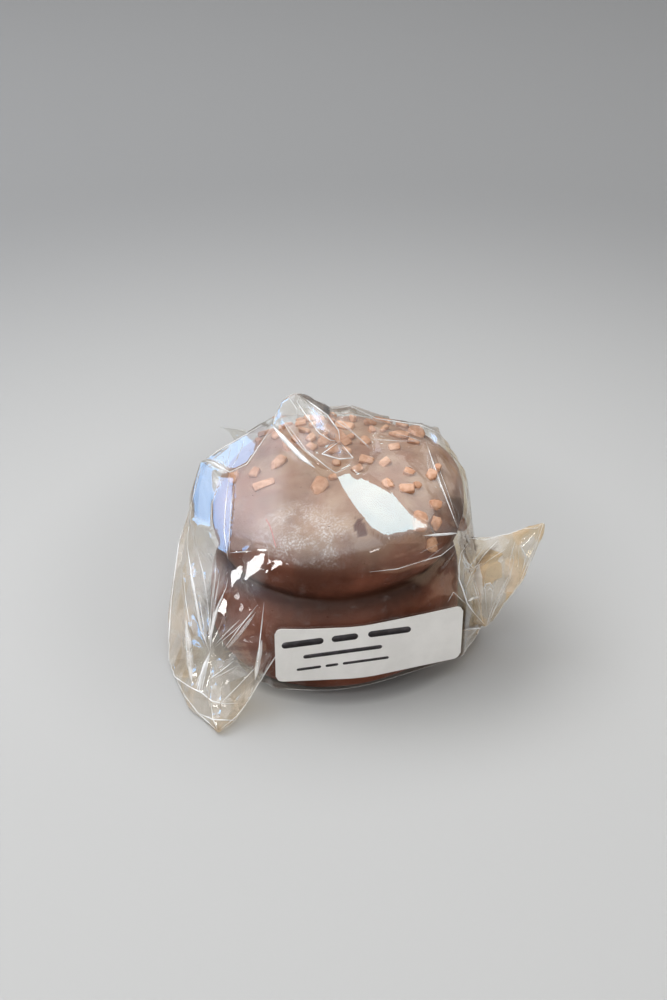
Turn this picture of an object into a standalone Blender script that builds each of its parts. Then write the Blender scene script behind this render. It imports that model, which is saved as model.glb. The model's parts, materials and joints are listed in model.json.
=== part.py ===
"""Honey cake in a shut clear bag, with the sticker on the bag's front.

The cake can't be taken out of the shut bag, so the bag is one closed solid of
the filled bag's outer form. Its film is pulled taut over a round cake of two
layers: from a folded ridge above the cake it runs straight to the upper
layer's rim, and from that rim straight down to the base. On the left the spare
film makes a gusset that runs out on the table to a point, on the right it
flares as an ear, on top its closed end is folded over to the front, and a flat
seam runs down the back.

Units in this file are millimetres, turned to metres by MM where a mesh is
made. +Z is up, -Y is the front, and the lower layer's centre is at X = Y = 0.
"""

import math
from collections.abc import Callable

import bmesh
import bpy
from mathutils import Vector
from mathutils.bvhtree import BVHTree

MM = 0.001

# The cake inside
LOWER_RADIUS = 32.5
UPPER_RADIUS = 33.8
UPPER_SHIFT = -2.2  # the upper layer sits a little to the left of the lower one
UPPER_LEAN = math.radians(3.5)  # and leans that way
RIM_HEIGHT = 34.0  # where the upper layer is widest
CAKE_HEIGHT = 46.5
DOME_POWER = 2.4  # 2 is an ellipse, more is squarer

# The film round it
SLACK = 0.9  # between the cake and the film
FLAT_RADIUS = 29.5  # of the flat spot that the bag rests on
FLAT_SHIFT = -3.0
FOOT_HEIGHT = 1.4  # of the rounded edge where the film turns under the cake
FOOT_LEAN = math.radians(6.0)  # the film leaves the table towards the right
LEAST_FOOT = 0.5
RING_SIDES = 72
DOME_RINGS = 7

# Points that hold the film off the cake
LEFT_SHOULDER = Vector((-32.8, 1.0, 45.0))
RIDGE_LEFT = Vector((-15.4, 5.0, 55.4))
RIDGE_RIGHT = Vector((2.9, 7.0, 54.6))
RIGHT_SHOULDER = (Vector((24.8, 15.0, 46.6)), Vector((27.0, 15.0, 43.4)))
RIGHT_WAIST = Vector((34.9, 5.0, 21.0))
RIGHT_FOOT = Vector((36.6, -11.0, 4.0))

# The front panel, which the sticker keeps nearly flat between two upright folds
PANEL_LEFT = (-15.2, -34.4)  # X and Y of the fold
PANEL_RIGHT = (30.3, -25.4)
PANEL_LEFT_REACH = (2.6, 20.0)  # heights of the fold's ends
PANEL_RIGHT_REACH = (5.2, 22.0)

# A crest of film behind the top fold
CREST = (
    Vector((-4.0, 8.5, 56.2)),
    Vector((2.9, 8.0, 56.6)),
    Vector((9.8, 10.0, 53.0)),
    Vector((13.0, 12.0, 51.0)),
)
CREST_ROOT = (
    Vector((-4.0, 12.0, 48.0)),
    Vector((2.0, 4.0, 50.0)),
    Vector((10.0, 13.5, 46.0)),
    Vector((8.0, 6.0, 48.0)),
)

# Left gusset
GUSSET_OUTER_FOLD = (
    Vector((-36.3, 0.0, 34.0)),
    Vector((-40.1, 0.0, 22.3)),
    Vector((-43.2, -9.0, 6.0)),
    Vector((-42.1, -21.5, 1.0)),
)
GUSSET_FLOOR_EDGE = (
    Vector((-39.4, -28.8, 0.4)),
    Vector((-35.4, -39.2, 0.4)),
    Vector((-27.7, -47.9, 0.4)),
    Vector((-24.0, -43.4, 0.4)),
)
GUSSET_TIP_LIFT = 1.4
GUSSET_ROOT = (
    Vector((-14.3, -32.6, 14.5)),
    Vector((-17.0, -31.2, 6.5)),
    Vector((-25.6, -24.5, 33.0)),
    Vector((-30.0, 14.0, 20.0)),
    Vector((-30.0, 12.0, 0.4)),
)

# Right ear, two sheets that flare from the neck to a curved rim
EAR_NECK_TOP = Vector((28.5, -10.0, 30.2))
EAR_NECK_BOTTOM = Vector((29.5, -11.0, 8.5))
EAR_TIP = Vector((50.4, -8.0, 32.8))
EAR_RIM_BEND = Vector((48.2, -9.0, 15.0))
EAR_RIM_BOTTOM = Vector((36.9, -12.5, 4.6))
EAR_TOP_SAG = 2.4
EAR_MOUTH = 5.0  # how far its sheets stand apart at the neck
EAR_RIM_GAP = 0.9
EAR_PLEATS = 3.5
EAR_PLEAT_DEPTH = 0.9

# Back left ear, small and behind the shoulder
BACK_EAR_NECK_TOP = Vector((-21.0, 22.0, 41.5))
BACK_EAR_NECK_BOTTOM = Vector((-26.0, 20.0, 30.0))
BACK_EAR_TIP = Vector((-31.2, 27.0, 39.8))
BACK_EAR_RIM_BEND = Vector((-28.0, 33.0, 36.0))
BACK_EAR_RIM_BOTTOM = Vector((-24.5, 31.5, 29.0))

# Top fold: the closed end of the bag, standing up and folded over to the front
FOLD_ARCH = (
    Vector((-16.0, 2.2, 54.8)),
    Vector((-13.6, 5.0, 59.8)),
    Vector((-10.7, 5.0, 61.7)),
    Vector((-6.6, 5.0, 61.0)),
    Vector((-2.5, 5.0, 58.4)),
)
FOLD_THICKNESS = Vector((0.0, 3.0, -2.2))
FOLD_END = (
    Vector((3.7, -6.0, 51.4)),
    Vector((-0.7, -12.6, 50.4)),
    Vector((-4.3, -12.4, 51.2)),
)
FOLD_ROOT = (
    Vector((-13.0, 3.0, 50.0)),
    Vector((1.5, 4.0, 50.0)),
    Vector((-0.5, -6.0, 46.0)),
)

# Back seam, where the film laps over itself
SEAM_HALF_WIDTH = 5.0
SEAM_CENTRE = -4.0
SEAM_TOP = 44.0
SEAM_BOTTOM = 3.0
SEAM_STAND = 0.8  # how far its free edge stands off the film
SEAM_STEPS = 14

# Sticker
LABEL_LENGTH = 45.2
LABEL_HEIGHT = 15.6
LABEL_CORNER = 1.7
LABEL_THICKNESS = 0.25
LABEL_GAP = 0.3
LABEL_TURN = math.radians(13.4)  # its middle, round the bag from the front to the right
LABEL_MIDDLE_HEIGHT = 13.2
LABEL_TILT = math.radians(0.5)
LABEL_STEPS = 44
LABEL_ROWS = 5


def new_material(name: str, colour: tuple[float, float, float], roughness: float, alpha: float = 1.0):
    material = bpy.data.materials.new(name)
    material.use_nodes = True
    shader = material.node_tree.nodes["Principled BSDF"]
    shader.inputs["Base Color"].default_value = (*colour, 1.0)
    shader.inputs["Roughness"].default_value = roughness
    shader.inputs["Alpha"].default_value = alpha
    return material


def new_object(name: str, mesh: bmesh.types.BMesh, material=None):
    """Turn a bmesh in millimetres into an object in metres."""
    bmesh.ops.scale(mesh, vec=(MM, MM, MM), verts=mesh.verts)
    data = bpy.data.meshes.new(name)
    mesh.to_mesh(data)
    mesh.free()
    if material is not None:
        data.materials.append(material)
    made = bpy.data.objects.new(name, data)
    bpy.context.scene.collection.objects.link(made)
    return made


def ring(radius: float, height: float, shift: float = 0.0, lean: float = 0.0) -> list[Vector]:
    """Points of a circle, its centre moved along X by shift and its left side lowered by lean."""
    turns = [2 * math.pi * side / RING_SIDES for side in range(RING_SIDES)]
    return [
        Vector((shift + radius * math.cos(turn), radius * math.sin(turn), height))
        + Vector((0.0, 0.0, radius * math.cos(turn) * math.tan(lean)))
        for turn in turns
    ]


def dome_point(share: float) -> tuple[float, float]:
    """Radius and height of the film over the dome, from 0 at the rim to 1 at the top."""
    turn = share * math.pi / 2
    radius = (UPPER_RADIUS + SLACK) * math.cos(turn) ** (2 / DOME_POWER)
    rise = (CAKE_HEIGHT + SLACK - RIM_HEIGHT) * math.sin(turn) ** (2 / DOME_POWER)
    return radius, RIM_HEIGHT + rise


def hull(points: list[Vector]) -> bmesh.types.BMesh:
    """The taut skin round some points."""
    mesh = bmesh.new()
    corners = [mesh.verts.new(point) for point in points]
    made = bmesh.ops.convex_hull(mesh, input=corners, use_existing_faces=False)
    loose = {item for item in made["geom_interior"] + made["geom_unused"] if isinstance(item, bmesh.types.BMVert)}
    bmesh.ops.delete(mesh, geom=list(loose), context="VERTS")
    bmesh.ops.recalc_face_normals(mesh, faces=mesh.faces)
    return mesh


def sheet_pair(
    front: Callable[[float, float], Vector],
    back: Callable[[float, float], Vector],
    across: int,
    along: int,
) -> bmesh.types.BMesh:
    """Close a solid between two sheets, each a grid over shares 0..1 across and along."""
    mesh = bmesh.new()
    sheets = []
    for sheet in (front, back):
        sheets.append(
            [[mesh.verts.new(sheet(i / across, j / along)) for j in range(along + 1)] for i in range(across + 1)]
        )
    near, far = sheets
    for i in range(across):
        for j in range(along):
            mesh.faces.new((near[i][j], near[i][j + 1], near[i + 1][j + 1], near[i + 1][j]))
            mesh.faces.new((far[i][j], far[i + 1][j], far[i + 1][j + 1], far[i][j + 1]))
    for i in range(across):
        mesh.faces.new((near[i][0], near[i + 1][0], far[i + 1][0], far[i][0]))
        mesh.faces.new((near[i + 1][along], near[i][along], far[i][along], far[i + 1][along]))
    for j in range(along):
        mesh.faces.new((near[0][j + 1], near[0][j], far[0][j], far[0][j + 1]))
        mesh.faces.new((near[across][j], near[across][j + 1], far[across][j + 1], far[across][j]))
    bmesh.ops.recalc_face_normals(mesh, faces=mesh.faces)
    return mesh


def body_points() -> list[Vector]:
    """The rings that the film touches and the points that hold it off the cake."""
    foot = ring(LOWER_RADIUS + SLACK, FOOT_HEIGHT, lean=FOOT_LEAN)
    points = [Vector((spot.x, spot.y, max(spot.z, LEAST_FOOT))) for spot in foot]
    points += ring(FLAT_RADIUS, 0.0, FLAT_SHIFT)
    for step in range(DOME_RINGS):
        radius, height = dome_point(step / DOME_RINGS)
        points += ring(radius, height, UPPER_SHIFT, UPPER_LEAN)
    panel = [Vector((*PANEL_LEFT, height)) for height in PANEL_LEFT_REACH]
    panel += [Vector((*PANEL_RIGHT, height)) for height in PANEL_RIGHT_REACH]
    return points + panel + [LEFT_SHOULDER, RIDGE_LEFT, RIDGE_RIGHT, *RIGHT_SHOULDER, RIGHT_WAIST, RIGHT_FOOT]


def gusset_points() -> list[Vector]:
    """The left gusset: a fold down its outer side, a point on the table and its root on the cake."""
    tip = GUSSET_FLOOR_EDGE[2]
    lifted = tip + Vector((0.0, 0.0, GUSSET_TIP_LIFT))
    return [LEFT_SHOULDER, *GUSSET_OUTER_FOLD, *GUSSET_FLOOR_EDGE, lifted, *GUSSET_ROOT]


def fold_points() -> list[Vector]:
    """The top fold: an arch of two sheets that leans down to a blunt point at the front."""
    back_of_arch = [point + FOLD_THICKNESS for point in FOLD_ARCH]
    return [*FOLD_ARCH, *back_of_arch, *FOLD_END, *FOLD_ROOT]


def bent(start: Vector, bend: Vector, end: Vector, share: float) -> Vector:
    """A point on the quadratic curve from start to end that leans towards bend."""
    rest = 1 - share
    return start * rest * rest + bend * 2 * rest * share + end * share * share


def pleat(share: float, count: float) -> float:
    """A zigzag from -1 to 1 with sharp creases."""
    phase = (share * count) % 1.0
    return 4 * abs(phase - 0.5) - 1


def ear(
    neck: tuple[Vector, Vector],
    rim: tuple[Vector, Vector, Vector],
    top_sag: float,
    pleats: float,
    pleat_depth: float,
    across: int,
    along: int,
) -> bmesh.types.BMesh:
    """Two sheets of film that flare from a neck to a rim, pleated between them."""
    outward = rim[0] - neck[0]
    down = neck[1] - neck[0]
    normal = outward.cross(down).normalized()

    def middle(u: float, v: float) -> Vector:
        root = neck[0].lerp(neck[1], v)
        edge = bent(*rim, v)
        sag = Vector((0.0, 0.0, -top_sag * (1 - v) ** 2 * 4 * u * (1 - u)))
        fold = normal * pleat(v, pleats) * pleat_depth * 4 * u * (1 - u)
        return root.lerp(edge, u) + sag + fold

    def half_gap(u: float, v: float) -> float:
        open_share = (1 - u) * 4 * v * (1 - v)
        return (EAR_RIM_GAP + (EAR_MOUTH - EAR_RIM_GAP) * open_share) / 2

    return sheet_pair(
        lambda u, v: middle(u, v) + normal * half_gap(u, v),
        lambda u, v: middle(u, v) - normal * half_gap(u, v),
        across,
        along,
    )


def surface_finder(target):
    """A function that finds the film's outside at a turn round the bag and a height."""
    graph = bpy.context.evaluated_depsgraph_get()
    tree = BVHTree.FromObject(target, graph)
    reach = 100.0 * MM

    def find(turn: float, height: float) -> tuple[Vector, Vector]:
        outward = Vector((math.sin(turn), -math.cos(turn), 0.0))
        start = outward * reach + Vector((0.0, 0.0, height * MM))
        place, normal, _, _ = tree.ray_cast(start, -outward)
        return place / MM, normal

    return find


def back_seam(find: Callable[[float, float], tuple[Vector, Vector]]) -> bmesh.types.BMesh:
    """A flat strip down the back, its free edge a little off the film."""

    def strip(lift_root: float, lift_free: float) -> Callable[[float, float], Vector]:
        def place(u: float, v: float) -> Vector:
            height = SEAM_BOTTOM + (SEAM_TOP - SEAM_BOTTOM) * v
            side = SEAM_CENTRE + SEAM_HALF_WIDTH * (2 * u - 1)
            turn = math.pi - math.asin(side / (LOWER_RADIUS + SLACK))
            spot, normal = find(turn, height)
            return spot + normal * (lift_root + (lift_free - lift_root) * u)

        return place

    return sheet_pair(strip(0.25, SEAM_STAND), strip(-0.6, -0.6), 3, SEAM_STEPS)


def label_edge(along: float) -> float:
    """Half the sticker's height at a distance along it from its middle, round its corners."""
    past = abs(along) - (LABEL_LENGTH / 2 - LABEL_CORNER)
    if past <= 0:
        return LABEL_HEIGHT / 2
    return LABEL_HEIGHT / 2 - LABEL_CORNER + math.sqrt(max(LABEL_CORNER**2 - past**2, 0.04))


def label_columns() -> list[float]:
    """Places along the sticker, closer together round its corners."""
    half = LABEL_LENGTH / 2
    straight = half - LABEL_CORNER
    corner = [straight + LABEL_CORNER * math.sin(step * math.pi / 12) for step in range(1, 7)]
    middle = [straight * (2 * step / LABEL_STEPS - 1) for step in range(LABEL_STEPS + 1)]
    return [-place for place in reversed(corner)] + middle + corner


def label_solid(find: Callable[[float, float], tuple[Vector, Vector]]) -> bmesh.types.BMesh:
    """The sticker, a thin sheet bent round the film's outside."""
    columns = label_columns()
    quarter = math.radians(0.25)
    turn_at = {0.0: LABEL_TURN}
    for direction in (-1, 1):
        turn = LABEL_TURN
        walked = 0.0
        place = find(turn, LABEL_MIDDLE_HEIGHT)[0]
        for target in sorted(abs(column) for column in columns if column * direction > 0):
            while walked < target:
                turn += quarter * direction
                ahead = find(turn, LABEL_MIDDLE_HEIGHT)[0]
                walked += (ahead - place).length
                place = ahead
            turn_at[target * direction] = turn

    def sheet(lift: float) -> Callable[[float, float], Vector]:
        def at(u: float, v: float) -> Vector:
            column = columns[round(u * (len(columns) - 1))]
            height = LABEL_MIDDLE_HEIGHT + column * math.sin(LABEL_TILT) + label_edge(column) * (2 * v - 1)
            nearest = min(turn_at, key=lambda key: abs(key - column))
            spot, normal = find(turn_at[nearest], height)
            flat = Vector((normal.x, normal.y, 0.0)).normalized()
            return spot + flat * lift

        return at

    return sheet_pair(
        sheet(LABEL_GAP + LABEL_THICKNESS),
        sheet(LABEL_GAP),
        len(columns) - 1,
        LABEL_ROWS,
    )


def join(name: str, pieces: list[bpy.types.Object], material):
    """Join solids into one closed body with a single Boolean, then remove them."""
    group = bpy.data.collections.new(name + " pieces")
    for piece in pieces[1:]:
        bpy.context.scene.collection.objects.unlink(piece)
        group.objects.link(piece)
    bpy.context.scene.collection.children.link(group)
    union = pieces[0].modifiers.new("Union", "BOOLEAN")
    union.operation = "UNION"
    union.operand_type = "COLLECTION"
    union.collection = group
    graph = bpy.context.evaluated_depsgraph_get()
    data = bpy.data.meshes.new_from_object(pieces[0].evaluated_get(graph))
    data.name = name
    for piece in pieces:
        bpy.data.objects.remove(piece)
    bpy.data.collections.remove(group)
    data.materials.clear()
    data.materials.append(material)
    data.shade_smooth()
    data.set_sharp_from_angle(angle=math.radians(20))
    made = bpy.data.objects.new(name, data)
    bpy.context.scene.collection.objects.link(made)
    return made


def main() -> None:
    for left_over in list(bpy.data.objects):
        bpy.data.objects.remove(left_over)
    film = new_material("clear film", (0.42, 0.30, 0.24), 0.12, alpha=0.6)
    paper = new_material("sticker paper", (0.70, 0.69, 0.68), 0.5)

    body = new_object("body", hull(body_points()))
    seam = new_object("seam", back_seam(surface_finder(body)))
    gusset = new_object("gusset", hull(gusset_points()))
    fold = new_object("fold", hull(fold_points()))
    crest = new_object("crest", hull([*CREST, *CREST_ROOT]))
    right_ear = new_object(
        "right ear",
        ear(
            neck=(EAR_NECK_TOP, EAR_NECK_BOTTOM),
            rim=(EAR_TIP, EAR_RIM_BEND, EAR_RIM_BOTTOM),
            top_sag=EAR_TOP_SAG,
            pleats=EAR_PLEATS,
            pleat_depth=EAR_PLEAT_DEPTH,
            across=8,
            along=21,
        ),
    )
    back_ear = new_object(
        "back ear",
        ear(
            neck=(BACK_EAR_NECK_TOP, BACK_EAR_NECK_BOTTOM),
            rim=(BACK_EAR_TIP, BACK_EAR_RIM_BEND, BACK_EAR_RIM_BOTTOM),
            top_sag=0.0,
            pleats=2.5,
            pleat_depth=0.9,
            across=5,
            along=15,
        ),
    )
    bag = join("bag", [body, gusset, fold, crest, right_ear, back_ear, seam], film)
    new_object("label", label_solid(surface_finder(bag)), paper)


if __name__ == "__main__":
    main()
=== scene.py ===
"""Looks of a honey cake in its clear bag.

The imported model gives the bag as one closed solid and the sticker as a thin
one. This script keeps the sticker, and turns the bag into what it really is:
crisp clear film with pressed folds and fans of creases, round a chocolate
coated cake of two layers with caramel chips on top.

Lengths here are millimetres unless a name says otherwise, and MM turns them
to Blender's metres where a mesh, a lamp or a camera is made. +Z is up, -Y is
the front with the sticker, and +X is to the right.
"""

import json
import logging
import math
from collections.abc import Iterable, Sequence
from dataclasses import dataclass, field
from enum import Enum

import bmesh
import bpy
import numpy as np
from bpy.types import Collection, Material, Mesh, Node, NodeSocket, NodeTree, Object
from mathutils import Matrix, Vector, noise
from mathutils.bvhtree import BVHTree
from mathutils.kdtree import KDTree

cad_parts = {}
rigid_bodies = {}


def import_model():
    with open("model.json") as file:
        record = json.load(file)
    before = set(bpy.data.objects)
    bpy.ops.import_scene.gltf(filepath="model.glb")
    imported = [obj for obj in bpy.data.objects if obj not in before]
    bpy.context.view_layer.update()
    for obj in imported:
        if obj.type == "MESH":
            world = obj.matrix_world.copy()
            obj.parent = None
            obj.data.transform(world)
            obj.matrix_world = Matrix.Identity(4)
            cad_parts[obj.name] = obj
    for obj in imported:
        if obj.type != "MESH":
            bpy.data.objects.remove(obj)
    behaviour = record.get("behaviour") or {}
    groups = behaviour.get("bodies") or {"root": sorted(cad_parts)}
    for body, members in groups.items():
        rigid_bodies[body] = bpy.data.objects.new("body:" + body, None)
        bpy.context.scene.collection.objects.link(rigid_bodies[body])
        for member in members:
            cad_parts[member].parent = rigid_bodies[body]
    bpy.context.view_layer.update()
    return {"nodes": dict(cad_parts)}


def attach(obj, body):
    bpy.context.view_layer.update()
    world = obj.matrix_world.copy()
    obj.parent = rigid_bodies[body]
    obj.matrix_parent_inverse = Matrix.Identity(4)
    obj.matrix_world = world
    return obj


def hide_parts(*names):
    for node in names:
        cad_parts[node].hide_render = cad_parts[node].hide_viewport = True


MM = 0.001
SEED = 41
LOG = logging.getLogger("honey_cake")

Pixel = tuple[float, float]
Place = tuple[float, float, float]
Span = tuple[float, ...]  # two ends, and the values that go with them where those aren't 0 and 1
Area = tuple[tuple[Pixel, ...], float]  # corners in the photo, and a strength
Colour = str | NodeSocket  # sRGB hex digits after a number sign, or a node's output

MATH = "ShaderNodeMath"
VECTOR_MATH = "ShaderNodeVectorMath"
RANGE = "ShaderNodeMapRange"
ATTRIBUTE = "ShaderNodeAttribute"
NAMED_ATTRIBUTE = "GeometryNodeInputNamedAttribute"
SOFTLY = {"interpolation_type": "SMOOTHSTEP"}


# -------- small tools


def linear(hex_colour: str) -> tuple[float, float, float, float]:
    """Turn an sRGB hex colour to linear light.

    Args:
        hex_colour: Six hex digits after a number sign.

    Returns:
        Red, green, blue and an alpha of 1.
    """
    shares = [int(hex_colour[at : at + 2], 16) / 255 for at in (1, 3, 5)]
    red, green, blue = [s / 12.92 if s <= 0.04045 else ((s + 0.055) / 1.055) ** 2.4 for s in shares]
    return red, green, blue, 1.0


def add_node(tree: NodeTree, kind: str, inputs: dict | Sequence[object] = (), **settings: object) -> Node:
    """Add a node with its settings, plain input values and links.

    Args:
        tree: The node tree that gets it.
        kind: The node's type name.
        inputs: What each input gets, in their order or else by name or number: a value, another node's
            output, or a node whose first output is meant.
        settings: The node's own settings.

    Returns:
        The new node.
    """
    node = tree.nodes.new(kind)
    for name, value in settings.items():
        setattr(node, name, value)
    for key, value in (inputs if isinstance(inputs, dict) else dict(enumerate(inputs))).items():
        if isinstance(value, Node):
            value = value.outputs[0]
        if isinstance(value, NodeSocket):
            tree.links.new(value, node.inputs[key])
        else:
            node.inputs[key].default_value = value
    return node


def coated(tree: NodeTree, ground: Colour, *coats: tuple[object, Colour]) -> NodeSocket:
    """Lay colours over each other.

    Args:
        tree: The node tree that gets them.
        ground: The colour underneath.
        coats: From the lowest, each coat's share of what shows (a node, an output or a number) and its colour.

    Returns:
        The colour that shows.
    """
    for share, colour in coats:
        under, over = (linear(c) if isinstance(c, str) else c for c in (ground, colour))
        ground = add_node(tree, "ShaderNodeMix", {0: share, 6: under, 7: over}, data_type="RGBA").outputs[2]
    return ground


def smooth_step(low: float, high: float, value: np.ndarray) -> np.ndarray:
    """Ramp softly from 0 at low to 1 at high."""
    share = np.clip((value - low) / (high - low), 0.0, 1.0)
    return share * share * (3 - 2 * share)


def zigzag(phase: np.ndarray, rounding: float = 0.06) -> np.ndarray:
    """A wave of straight flanks and slightly rounded crests, from -1 to 1, once for each whole phase."""
    flank = np.abs((phase % 1.0) - 0.5) * 4 - 1
    return np.sign(flank) * (1 + rounding - np.sqrt((1 - np.abs(flank)) ** 2 + rounding**2))


def new_piece(name: str, mesh: Mesh, material: Material | None = None) -> Object:
    """Link a mesh as a piece at the origin.

    Args:
        name: The piece's name.
        mesh: Its mesh, in metres.
        material: Its finish.

    Returns:
        The new object.
    """
    piece = bpy.data.objects.new(name, mesh)
    bpy.context.scene.collection.objects.link(piece)
    if material is not None:
        mesh.materials.clear()
        mesh.materials.append(material)
    return piece


def mesh_from(name: str, points: Iterable[Sequence[float]], faces: Iterable[Sequence[int]]) -> Mesh:
    """Make a smooth mesh in metres from points in millimetres and faces that point outwards.

    Args:
        name: The mesh's name.
        points: Its points in millimetres.
        faces: Each face's points, by number.

    Returns:
        The mesh.
    """
    mesh = bpy.data.meshes.new(name)
    mesh.from_pydata([tuple(c * MM for c in point) for point in points], [], [tuple(f) for f in faces])
    mesh.shade_smooth()
    return mesh


def places_of(mesh: Mesh) -> np.ndarray:
    """A mesh's points in millimetres, one row each."""
    flat = np.empty(len(mesh.vertices) * 3, np.float32)
    mesh.vertices.foreach_get("co", flat)
    return flat.reshape(-1, 3).astype(float) / MM


def normals_of(mesh: Mesh) -> np.ndarray:
    """A mesh's smooth point normals, one row each."""
    flat = np.empty(len(mesh.vertices) * 3, np.float32)
    mesh.vertex_normals.foreach_get("vector", flat)
    return flat.reshape(-1, 3).astype(float)


def move_points(mesh: Mesh, places: np.ndarray) -> None:
    """Put a mesh's points at these places in millimetres."""
    mesh.vertices.foreach_set("co", (places * MM).astype(np.float32).ravel())
    mesh.update()


def surface_tree(mesh: Mesh) -> BVHTree:
    """A search tree over a mesh, in millimetres."""
    points = [Vector(point) for point in places_of(mesh)]
    return BVHTree.FromPolygons(points, [tuple(face.vertices) for face in mesh.polygons])


def store(mesh: Mesh, name: str, values: np.ndarray) -> None:
    """Keep one number for each point of a mesh as a named attribute."""
    layer = mesh.attributes.get(name) or mesh.attributes.new(name, "FLOAT", "POINT")
    layer.data.foreach_set("value", values.astype(np.float32))


def inside_by(spots: np.ndarray, corners: np.ndarray) -> np.ndarray:
    """How far flat spots are inside a polygon, negative outside it.

    Args:
        spots: One row each, in pixels.
        corners: The polygon's corners, one row each.

    Returns:
        Each spot's distance to the outline, in pixels.
    """
    inside = np.zeros(len(spots), bool)
    away = np.full(len(spots), np.inf)
    x, y = spots.T
    for start, end in zip(corners, np.roll(corners, -1, axis=0)):
        span = end - start
        share = np.clip((spots - start) @ span / (span @ span), 0, 1)
        away = np.minimum(away, np.linalg.norm(spots - start - share[:, None] * span, axis=1))
        crosses = (start[1] > y) != (end[1] > y)
        rise = span[1] if abs(span[1]) > 1e-9 else 1e-9
        inside ^= crosses & (x < start[0] + (y - start[1]) * span[0] / rise)
    return np.where(inside, away, -away)


def distance_to(places: np.ndarray, trail: np.ndarray) -> tuple[np.ndarray, np.ndarray]:
    """How far places are from a line.

    Args:
        places: One row each.
        trail: The line's corners, one row each.

    Returns:
        Each place's distance, and how far along the line its nearest spot is, from 0 to 1.
    """
    best, along = np.full(len(places), np.inf), np.zeros(len(places))
    count = len(trail) - 1
    for index in range(count):
        start, span = trail[index], trail[index + 1] - trail[index]
        share = np.clip((places - start) @ span / max(span @ span, 1e-9), 0, 1)
        away = np.linalg.norm(places - start - share[:, None] * span, axis=1)
        nearer = away < best
        best[nearer] = away[nearer]
        along[nearer] = (index + share[nearer]) / count
    return best, along


# -------- the photo's view


@dataclass(frozen=True)
class PhotoView:
    """Where the photo was taken from, so that a place in it can be found on the object."""

    station: Vector = field(default_factory=lambda: Vector((-1.167, -293.286, 219.256)))
    pitch: float = math.radians(32.246)  # below the horizon
    focal_length: float = 50.4
    sensor: float = 36.0
    width: int = 667
    height: int = 1000

    @property
    def focal_pixels(self) -> float:
        """The focal length in pixels of the photo."""
        return self.focal_length / self.sensor * self.height

    @property
    def axes(self) -> tuple[Vector, Vector, Vector]:
        """The directions to the right, up and ahead in the picture."""
        ahead = Vector((0, math.cos(self.pitch), -math.sin(self.pitch)))
        right = Vector((1, 0, 0))
        return right, right.cross(ahead), ahead

    def sight(self, pixel: Pixel) -> Vector:
        """The direction from the camera through a pixel.

        Args:
            pixel: Pixels to the right and down.

        Returns:
            The direction, of length 1.
        """
        right, up, ahead = self.axes
        across = (pixel[0] - self.width / 2) / self.focal_pixels
        down = (pixel[1] - self.height / 2) / self.focal_pixels
        return (ahead + right * across - up * down).normalized()

    def hit(self, tree: BVHTree, pixel: Pixel) -> tuple[Vector, Vector] | None:
        """The first place that a pixel shows on a surface, with its normal, or None."""
        place, normal, _, _ = tree.ray_cast(self.station, self.sight(pixel))
        return None if place is None else (place, normal)

    def near_hit(self, tree: BVHTree, pixel: Pixel, reach: int = 5, ways: int = 12) -> tuple[Vector, Vector] | None:
        """What a pixel shows, or else what one close by shows, for lines along an outline.

        Args:
            tree: The surface.
            pixel: The pixel.
            reach: How many pixels away it looks.
            ways: In how many directions it looks.

        Returns:
            The place and its normal, or None.
        """
        found = self.hit(tree, pixel)
        for radius in range(1, reach + 1):
            if found is not None:
                break
            for way in range(ways):
                turn = 2 * math.pi * way / ways
                beside = (pixel[0] + radius * math.cos(turn), pixel[1] + radius * math.sin(turn))
                found = found or self.hit(tree, beside)
        return found

    def pixels_of(self, places: np.ndarray) -> np.ndarray:
        """Where places in millimetres show in the photo, one row each.

        Args:
            places: The places, one row each.

        Returns:
            Pixels to the right and down, one row each.
        """
        right, up, ahead = (np.array(axis) for axis in self.axes)
        away = places - np.array(self.station)
        depth = away @ ahead
        across = self.width / 2 + self.focal_pixels * (away @ right) / depth
        down = self.height / 2 - self.focal_pixels * (away @ up) / depth
        return np.stack([across, down], axis=1)

    def trail(self, tree: BVHTree, pixels: Sequence[Pixel], step: float = 3.0) -> list[Vector]:
        """Follow a line of pixels over a surface.

        Args:
            tree: The surface.
            pixels: The line's corners.
            step: Pixels between the places.

        Returns:
            The places, without those where the line leaves the surface.
        """
        places = []
        for start, end in zip(pixels, pixels[1:]):
            count = max(1, round(math.dist(start, end) / step))
            for at in range(count + (end == pixels[-1])):
                share = at / count
                pixel = (start[0] + (end[0] - start[0]) * share, start[1] + (end[1] - start[1]) * share)
                found = self.near_hit(tree, pixel)
                if found is not None:
                    places.append(found[0])
        return places

    def make_camera(self) -> None:
        """Stand Blender's camera at the photo's viewpoint."""
        data = bpy.data.cameras.new("photo_camera")
        data.lens = self.focal_length
        data.sensor_width = self.sensor
        camera = bpy.data.objects.new("photo_camera", data)
        camera.location = self.station * MM
        camera.rotation_euler = (math.pi / 2 - self.pitch, 0, 0)
        bpy.context.scene.collection.objects.link(camera)
        bpy.context.scene.camera = camera


# -------- finishes


class Finish:
    """What all finishes share: one shader, whose patterns follow Object coordinates in millimetres."""

    name: str

    def shader(self, tree: NodeTree, place: NodeSocket) -> Node:
        """Build the shader.

        Args:
            tree: The material's node tree.
            place: Object coordinates in millimetres.

        Returns:
            The shader's last node.
        """
        raise NotImplementedError

    def dress(self) -> Material:
        """Make the material."""
        material = bpy.data.materials.new(self.name)
        material.use_nodes = True
        tree = material.node_tree
        tree.nodes.clear()
        place = add_node(tree, "ShaderNodeTexCoord").outputs["Object"]
        scaled = add_node(tree, "ShaderNodeMapping", {"Vector": place, "Scale": (1 / MM,) * 3}).outputs[0]
        add_node(tree, "ShaderNodeOutputMaterial", {"Surface": self.shader(tree, scaled)})
        return material


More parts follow.
